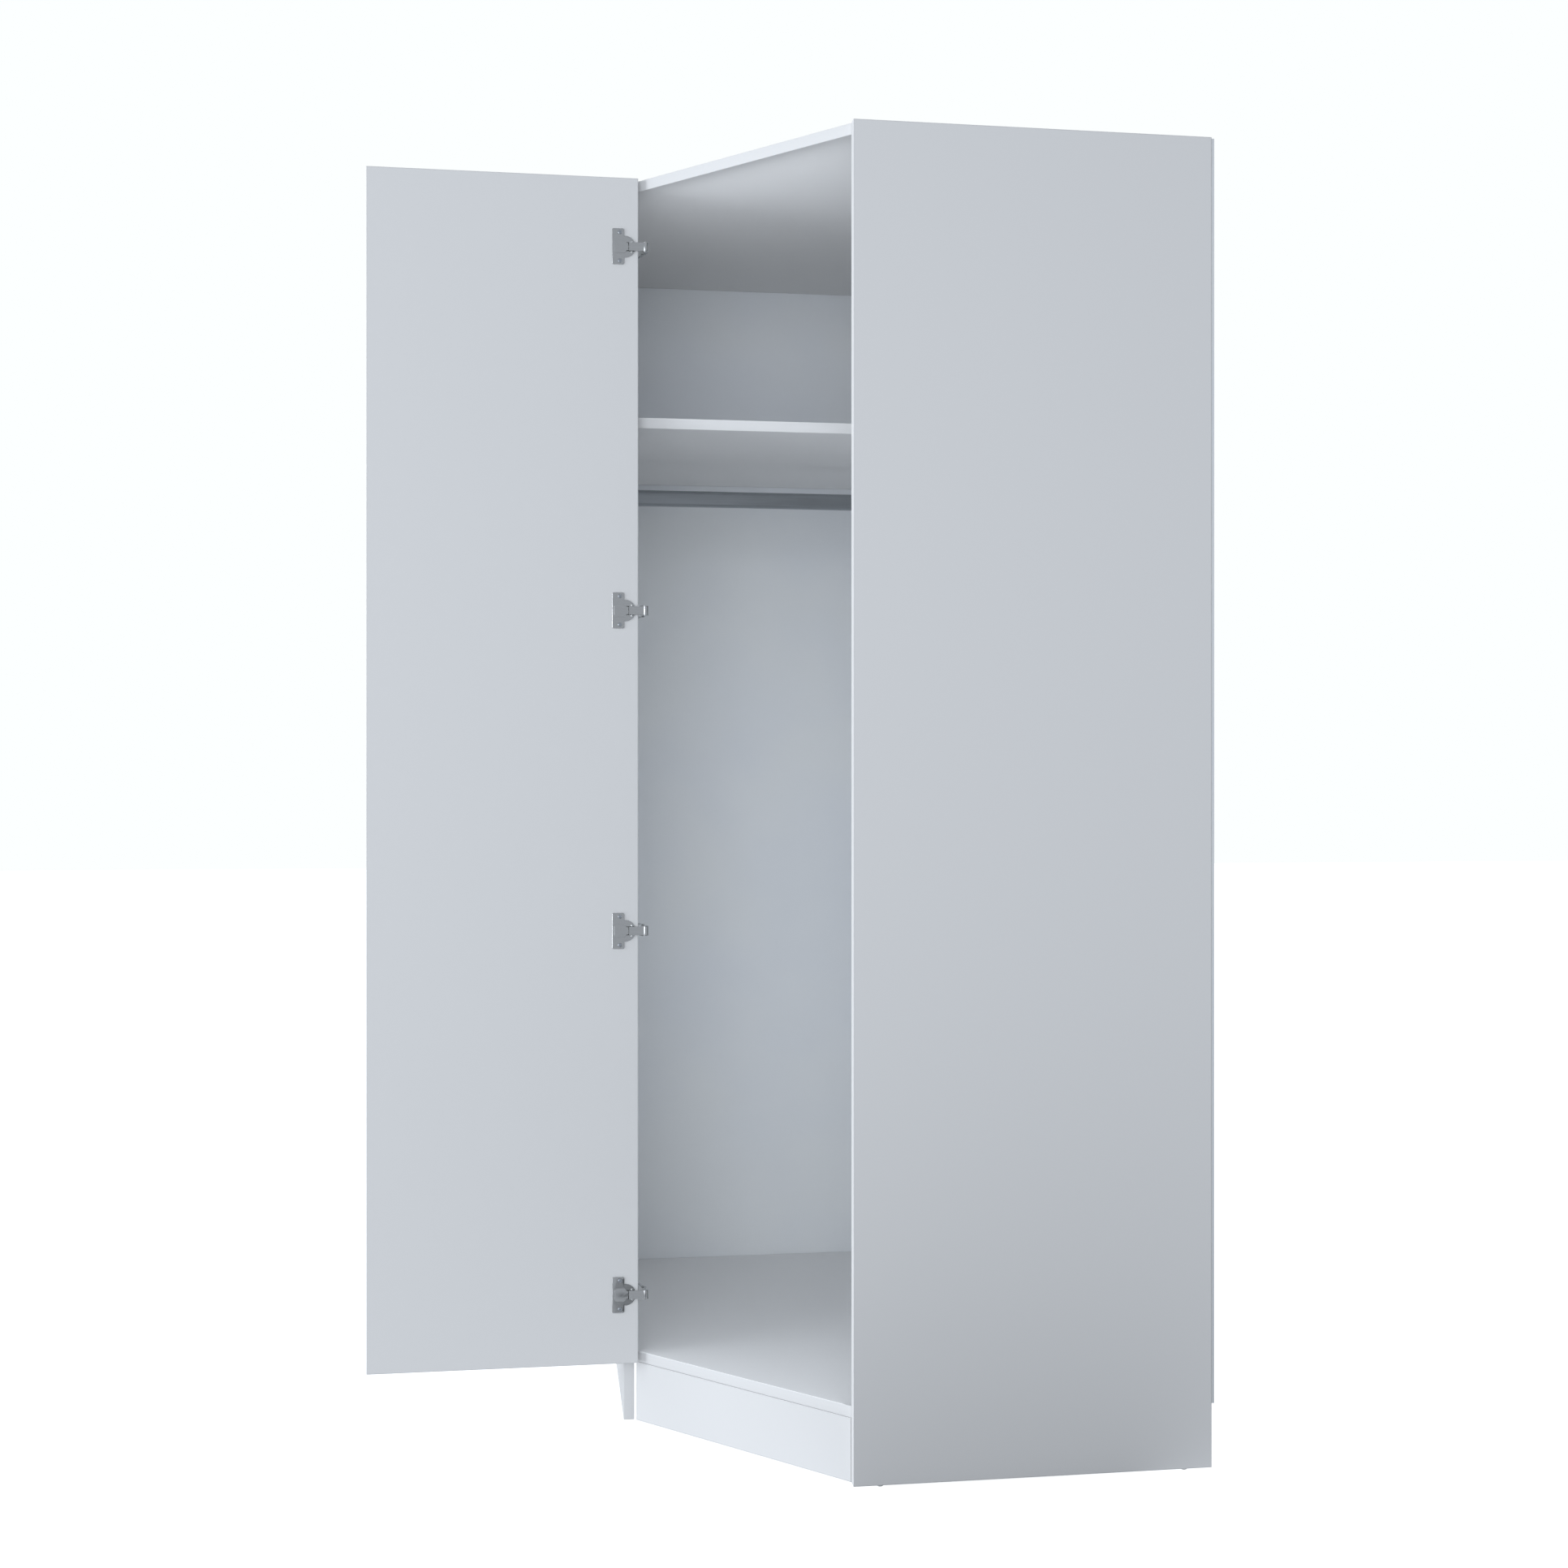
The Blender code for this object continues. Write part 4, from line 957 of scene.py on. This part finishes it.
arm_pivot = joint_places["outer_link_turn"]
knuckle_x = door_high.x + KNUCKLE_FROM_DOOR[0]
knuckle_y = door_low.y - KNUCKLE_FROM_DOOR[1]


def inner_link_mesh():
    """Its frame is on the cup's pin, with X away from the hinge edge and Y out of the door's face."""
    far = (cup_pivot.x - knuckle_x, cup_pivot.y - knuckle_y)
    strip = prism(rectangle((far[0], STRIP_LOW), (TAIL, STRIP_HIGH)), -STRIP_HALF, STRIP_HALF)
    bore = circle((0, 0), cup_pin_radius + PIN_PLAY, PIN_SIDES)
    neck = rectangle((-ROLL, 0.0), (0.0, STRIP_LOW + NECK_LAP))
    steps = [
        ("UNION", prism(circle((0, 0), ROLL, ROUND_SIDES), -STRIP_HALF, STRIP_HALF)),
        ("UNION", prism(circle(far, KNUCKLE, KNUCKLE_SIDES), -STRIP_HALF, STRIP_HALF)),
        ("UNION", prism(neck, -STRIP_HALF, STRIP_HALF)),
        ("DIFFERENCE", prism(bore, -THROUGH, THROUGH)),
        ("DIFFERENCE", prism(circle(far, KNUCKLE_BORE, PIN_SIDES), STRIP_HALF - PIN_SOCKET, THROUGH)),
        ("DIFFERENCE", prism(circle(far, KNUCKLE_BORE, PIN_SIDES), -THROUGH, PIN_SOCKET - STRIP_HALF)),
    ]
    return softened(carved(strip, steps), STRIP_ARRIS, 3, BENDS)


def outer_link_mesh():
    """Its frame is on the arm's pivot: two cheeks joined by a web, with rivet heads outside the cheeks."""
    far = Vector((knuckle_x - arm_pivot.x, knuckle_y - arm_pivot.y))
    ahead = far.normalized()
    left = Vector((-ahead.y, ahead.x))
    heading = math.atan2(ahead.y, ahead.x)
    quarter = math.pi / 2
    outline = [tuple(left * WEB_FAR), tuple(far + left * WEB_FAR)]
    outline += arc(far, KNUCKLE, heading, heading - quarter)
    outline += arc((0, 0), KNUCKLE, heading - quarter, heading - 2 * quarter)
    inside = [
        tuple(left * WEB_NEAR - ahead * THROUGH),
        tuple(left * WEB_NEAR + ahead * 2 * THROUGH),
        tuple(ahead * 2 * THROUGH - left * THROUGH),
        tuple(-ahead * THROUGH - left * THROUGH),
    ]
    bore = circle((0, 0), cup_pin_radius + PIN_PLAY, PIN_SIDES)
    steps = [
        ("DIFFERENCE", prism(inside, -CHEEK_LOW, CHEEK_LOW)),
        ("DIFFERENCE", prism(bore, -THROUGH, THROUGH)),
    ]
    link = softened(carved(prism(outline, -CHEEK_HIGH, CHEEK_HIGH), steps), PRESS_ARRIS, 2, BENDS)
    heads = []
    for side in (-1, 1):
        head = turned([(RIVET, -RIVET_FOOT), *dome(RIVET, 0.0, RIVET_RISE)], PIN_SIDES)
        flip = Matrix.Rotation(0 if side > 0 else math.pi, 4, "X")
        head.transform(Matrix.Translation((far.x, far.y, side * CHEEK_HIGH)) @ flip)
        heads.append(("UNION", head))
    return carved(link, heads)


inner_link = inner_link_mesh()
outer_link = outer_link_mesh()
for height, spot in cup_places.items():
    at = Matrix.Translation((cup_pivot.x, cup_pivot.y, spot.z)) @ HALF_TURN
    node = f"inner_link_{height}"
    piece(f"{height}_inner_link", inner_link, [nickel], "inner_links", [node], at)
    at = Matrix.Translation((arm_pivot.x, arm_pivot.y, spot.z))
    node = f"outer_link_{height}"
    piece(f"{height}_outer_link", outer_link, [nickel], "outer_links", [node], at)

# --------------------------------------------------
# Hinge arms
# Cranked channels of pressed steel, nickel-plated, low over the mounting plates and rising to two ears that
# hold the outer links. Two cross-head screws in the back set the door sideways and fix the arm in depth.
# --------------------------------------------------
EAR_LOW = 0.0086
EAR_HIGH = 0.0098
ARM_SHEET = 0.0012
ARM_HEIGHT = 0.0048  # at the rear
ARM_NOSE = 0.0024
ARM_EAR = 0.0026
ARM_BODY_START = 0.023  # behind the pivot
ARM_CHIN = 0.008
ARM_ARRIS = 0.0006
ARM_STUB = 0.0013
ARM_SCREWS = (0.011, 0.034)  # behind the start of the body
ARM_SCREW_HEAD = 0.0034
ARM_SHOULDER = 0.001  # in front of the pivot
ARM_WEB_START = 0.002  # behind the start of the body
ARM_SLOT_REACH = 0.006
ARM_SLOT_HALF = 0.0024
ARM_SLOT_CORNER = 0.0023
ARM_SLOT_CUT = 0.004
STUB_RISE = 0.0005
STUB_ARRIS = 0.0002
ARM_SCREW_RISE = 0.0009
ARM_SCREW_GAP = 0.0001
HEAD_FOOT = 0.0008  # below its frame, and the depth of its recess
HEAD_RECESS = (0.6, 0.15)  # its reach and half width, as shares of the head's radius

arm_low, arm_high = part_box("hinge_arm_top")


def arm_mesh():
    """Its frame is on the arm's pivot, with the world's axes."""
    low, high = arm_low.x - arm_pivot.x, arm_low.x + ARM_HEIGHT - arm_pivot.x
    rear = arm_high.y - arm_pivot.y
    wall = [
        (-ARM_NOSE, -ARM_SHOULDER),
        (ARM_NOSE, -ARM_SHOULDER),
        (high, ARM_BODY_START),
        (high, rear),
        (low, rear),
        (low, ARM_BODY_START + ARM_CHIN),
    ]
    web = rectangle((high - ARM_SHEET, ARM_BODY_START + ARM_WEB_START), (high, rear))
    steps = []
    for side in (-1, 1):
        span = sorted((side * EAR_LOW, side * EAR_HIGH))
        steps.append(("UNION", prism(wall, *span)))
        steps.append(("UNION", prism(circle((0, 0), ARM_EAR, ROUND_SIDES), *span)))
    slot_middle = ARM_BODY_START + ARM_SCREWS[1]
    slot = rectangle(
        (slot_middle - ARM_SLOT_REACH, -ARM_SLOT_HALF), (slot_middle + ARM_SLOT_REACH, ARM_SLOT_HALF)
    )
    slot = prism(rounded(slot, ARM_SLOT_CORNER), high - ARM_SLOT_CUT, high + ARM_SLOT_CUT, ALONG_X)
    steps.append(("DIFFERENCE", slot))
    channel = softened(carved(prism(web, -EAR_HIGH, EAR_HIGH), steps), ARM_ARRIS, 2, CORNERS_ONLY)
    stubs = []
    for side in (-1, 1):
        span = sorted((side * CHEEK_LOW, side * (EAR_HIGH + STUB_RISE)))
        stub = prism(circle((0, 0), ARM_STUB, PIN_SIDES), *span)
        stubs.append(("UNION", softened(stub, STUB_ARRIS, 1, CORNERS_ONLY)))
    return carved(channel, stubs)


def head_mesh(radius, rise, direction):
    """A loose screw head with a cross recess, standing on its frame's origin."""
    body = turned([(radius, -HEAD_FOOT), *dome(radius, 0.0, rise)], ROUND_SIDES, direction)
    reach, half = [radius * share for share in HEAD_RECESS]
    return carved(body, cross_recess(reach, half, rise - HEAD_FOOT, direction))


arm = arm_mesh()
arm_screw = head_mesh(ARM_SCREW_HEAD, ARM_SCREW_RISE, ALONG_X)
for height, spot in cup_places.items():
    at = Matrix.Translation((arm_pivot.x, arm_pivot.y, spot.z))
    piece(f"{height}_arm", arm, [nickel], "cabinet", [f"hinge_arm_{height}"], at)
    for which, behind in zip(("front", "rear"), ARM_SCREWS):
        back = arm_low.x + ARM_HEIGHT + ARM_SCREW_GAP
        at = Matrix.Translation((back, arm_pivot.y + ARM_BODY_START + behind, spot.z))
        piece(f"{height}_arm_screw_{which}", arm_screw, [zinc], "cabinet", place=at)

# --------------------------------------------------
# Mounting plates
# Cross-shaped plates, stamped from steel and nickel-plated, with rounded wings above and below. Two coarse
# euro screws hold each to the left side board, and a hinge arm clips on it.
# --------------------------------------------------
PLATE_STRIP_HALF = 0.0080
PLATE_WING_HALF = 0.0085
PLATE_WING_REACH = 0.0085
EURO_HEAD = 0.0038
EURO_CORE = 0.0022
EURO_THREAD = 0.0028
EURO_PITCH = 0.0020
EURO_TIP = -0.0115
EURO_THREAD_START = -0.0108
EURO_TURNS = 4
EURO_NECK = -0.0005
EURO_RISE = 0.0007
EURO_RECESS = (0.0022, 0.0006)  # its reach and half width
EURO_RECESS_FLOOR = 0.0002
THREAD_PLAY = 0.0001
PLATE_THICKNESS = 0.0025
PLATE_GAP = 0.0003
PLATE_STRIP_CORNER = 0.003
PLATE_WING_CORNER = 0.008
PLATE_ARRIS = 0.0005

plate_low, plate_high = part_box("mounting_plate_top")
plate_face = left_high.x + PLATE_GAP


def plate_mesh():
    """Its frame is between its two screws, on the side board's face, X out of it."""
    front = plate_low.y - plate_screw_y
    rear = plate_high.y - plate_screw_y
    strip = rounded(rectangle((front, -PLATE_STRIP_HALF), (rear, PLATE_STRIP_HALF)), PLATE_STRIP_CORNER)
    reach = PLATE_SCREW_SPACING / 2 + PLATE_WING_REACH
    wings = rectangle((-PLATE_WING_HALF, -reach), (PLATE_WING_HALF, reach))
    wings = rounded(wings, PLATE_WING_CORNER, 10)
    body = carved(
        prism(strip, 0.0, PLATE_THICKNESS, ALONG_X),
        [("UNION", prism(wings, 0.0, PLATE_THICKNESS, ALONG_X))],
    )
    softened(body, PLATE_ARRIS, 2, BENDS)
    holes = []
    for side in (-1, 1):
        hole = circle((0, side * PLATE_SCREW_SPACING / 2), EURO_THREAD + THREAD_PLAY, PIN_SIDES)
        holes.append(("DIFFERENCE", prism(hole, -OVERCUT, OVERCUT, ALONG_X)))
    return carved(body, holes)


def euro_screw_mesh():
    """A coarse-threaded screw with a flat head, in the same frame as its plate."""
    profile = [(0, EURO_TIP)]
    for i in range(EURO_TURNS):
        foot = EURO_THREAD_START + i * EURO_PITCH
        profile += [(EURO_CORE, foot), (EURO_THREAD - THREAD_PLAY, foot + EURO_PITCH / 2)]
    profile += [(EURO_CORE, EURO_NECK), (EURO_CORE, PLATE_THICKNESS), (EURO_HEAD, PLATE_THICKNESS)]
    profile += dome(EURO_HEAD, PLATE_THICKNESS + DOME_FOOT, EURO_RISE)
    body = turned(profile, ROUND_SIDES, ALONG_X)
    return carved(body, cross_recess(*EURO_RECESS, PLATE_THICKNESS + EURO_RECESS_FLOOR, ALONG_X))


plate = plate_mesh()
euro_screw = euro_screw_mesh()
for height, spot in cup_places.items():
    at = Matrix.Translation((plate_face, plate_screw_y, spot.z))
    node = f"mounting_plate_{height}"
    piece(f"{height}_plate", plate, [nickel], "cabinet", [node], at)
    for which, side in (("upper", 1), ("lower", -1)):
        at = Matrix.Translation((plate_face, plate_screw_y, spot.z + side * PLATE_SCREW_SPACING / 2))
        piece(f"{height}_plate_screw_{which}", euro_screw, [zinc], "cabinet", place=at)

# --------------------------------------------------
# Room
# A pale floor that runs out into white, a wide soft light from the left, a weaker one in front and an even
# sky. A dark card under the floor, in front of the right side board, is a painted shadow: it stands for
# the cabinet's shadow on the floor there and takes away the light that would come up from below.
# --------------------------------------------------
FLOOR_SIZE = 40.0
FLOOR_DROP = 0.0002
FLOOR_GLOW = 0.86
# The card is a painted shadow: a black sheet where the cabinet's shadow would lie on the floor.
SHADOW_CARD_RADIUS = 0.56
SHADOW_CARD_PLACE = (0.32, -0.98)
SHADOW_CARD_DROP = 0.02
SKY_STRENGTH = 0.47
SKY_COLOUR = (0.92, 0.975, 1.05, 1.0)
BACKDROP_COLOUR = (0.975, 1.0, 1.0, 1.0)
LIGHT_COLOUR = (0.93, 0.975, 1.03)
KEY_POWER = 200.0
KEY_SIZE = 4.0
KEY_PLACE = Vector((-5.7, -1.1, 1.3))
FILL_POWER = 46.0
FILL_SIZE = 3.0
FILL_PLACE = Vector((-1.2, -4.2, 1.3))
INSIDE_WIDTH = 0.42
INSIDE_LIGHTS = (("inside_low", 0.85, 1.4, 0.81), ("inside_high", 0.34, 0.28, 1.90))  # power, height, place
LENS = 40.69
VIEWPOINT = (-0.3850, -3.1367, 1.0823)
HEADING = -7.83  # degrees

scene = bpy.context.scene
scene.view_settings.view_transform = "Standard"
scene.view_settings.look = "None"


def stage_piece(name, mesh, material):
    made = bpy.data.objects.new(name, mesh)
    bpy.context.collection.objects.link(made)
    mesh.materials.append(material)
    return made


def sheet_mesh(outline, height):
    mesh = bpy.data.meshes.new("sheet")
    mesh.from_pydata([(x, y, height) for x, y in outline], [], [list(range(len(outline)))])
    return mesh


# Matt paint, evenly lit: plain white, with no shine.
pale_floor, shader = finish("pale_painted_floor", 0.9)
shader.inputs["Base Color"].default_value = srgb("F4F5F6")
shader.inputs["Emission Color"].default_value = (0.98, 1.0, 1.0, 1.0)
shader.inputs["Emission Strength"].default_value = FLOOR_GLOW
half = FLOOR_SIZE / 2
floor = stage_piece("floor", sheet_mesh(rectangle((-half, -half), (half, half)), -FLOOR_DROP), pale_floor)
floor.visible_diffuse = False
floor.visible_glossy = False
floor.visible_shadow = False

# Painted shadow: a matt black card where the cabinet's shadow would lie on the floor. Only the light and
# the mirrored metal see it: it darkens the foot of the right side board and shows as dark floor in the
# metal.
shadow_card_finish, shader = finish("painted_shadow_black", 1.0)
shader.inputs["Base Color"].default_value = srgb("202124")
shadow_card_outline = circle(SHADOW_CARD_PLACE, SHADOW_CARD_RADIUS, CUP_SIDES)
shadow_card = stage_piece("painted_shadow_card", sheet_mesh(shadow_card_outline, -SHADOW_CARD_DROP), shadow_card_finish)
shadow_card.visible_camera = False

world = bpy.data.worlds.new("studio")
scene.world = world
world.use_nodes = True
world.node_tree.nodes.clear()
rays = add(world, "ShaderNodeLightPath")
sky = add(world, "ShaderNodeBackground", {"Color": SKY_COLOUR, "Strength": SKY_STRENGTH})
white = add(world, "ShaderNodeBackground", {"Color": BACKDROP_COLOUR, "Strength": 1.0})
shown = add(
    world,
    "ShaderNodeMixShader",
    links={
        "Fac": rays.outputs["Is Camera Ray"],
        1: sky.outputs["Background"],
        2: white.outputs["Background"],
    },
)
add(world, "ShaderNodeOutputWorld", links={"Surface": shown.outputs["Shader"]})


def soft_light(name, power, size, position, target):
    """A soft box, width by height, that faces a target. Metal mirrors only the key light."""
    light = bpy.data.lights.new(name, "AREA")
    light.shape = "RECTANGLE"
    light.size, light.size_y = size
    light.energy = power
    light.color = LIGHT_COLOUR
    lamp = bpy.data.objects.new(name, light)
    bpy.context.collection.objects.link(lamp)
    lamp.location = position
    lamp.rotation_euler = (target - position).to_track_quat("-Z", "Y").to_euler()
    lamp.visible_camera = False
    lamp.visible_glossy = name == "key"


middle = Vector((0.0, 0.0, 1.1))
soft_light("key", KEY_POWER, (KEY_SIZE, KEY_SIZE), KEY_PLACE, middle)
soft_light("fill", FILL_POWER, (FILL_SIZE, FILL_SIZE), FILL_PLACE, middle)
# Weak lights in the opening stand for the many bounces that brighten a white box.
for name, power, height, z in INSIDE_LIGHTS:
    opening = Vector(((left_high.x + right_low.x) / 2, (left_low.y + right_high.y) / 2, z))
    soft_light(name, power, (INSIDE_WIDTH, height), opening, opening + Vector((1, 1, 0)))

camera = bpy.data.cameras.new("camera")
camera.sensor_width = 36.0
camera.lens = LENS
camera.clip_end = 100.0
viewer = bpy.data.objects.new("camera", camera)
bpy.context.collection.objects.link(viewer)
viewer.location = VIEWPOINT
viewer.rotation_euler = (math.radians(90.0), 0.0, math.radians(HEADING))
scene.camera = viewer
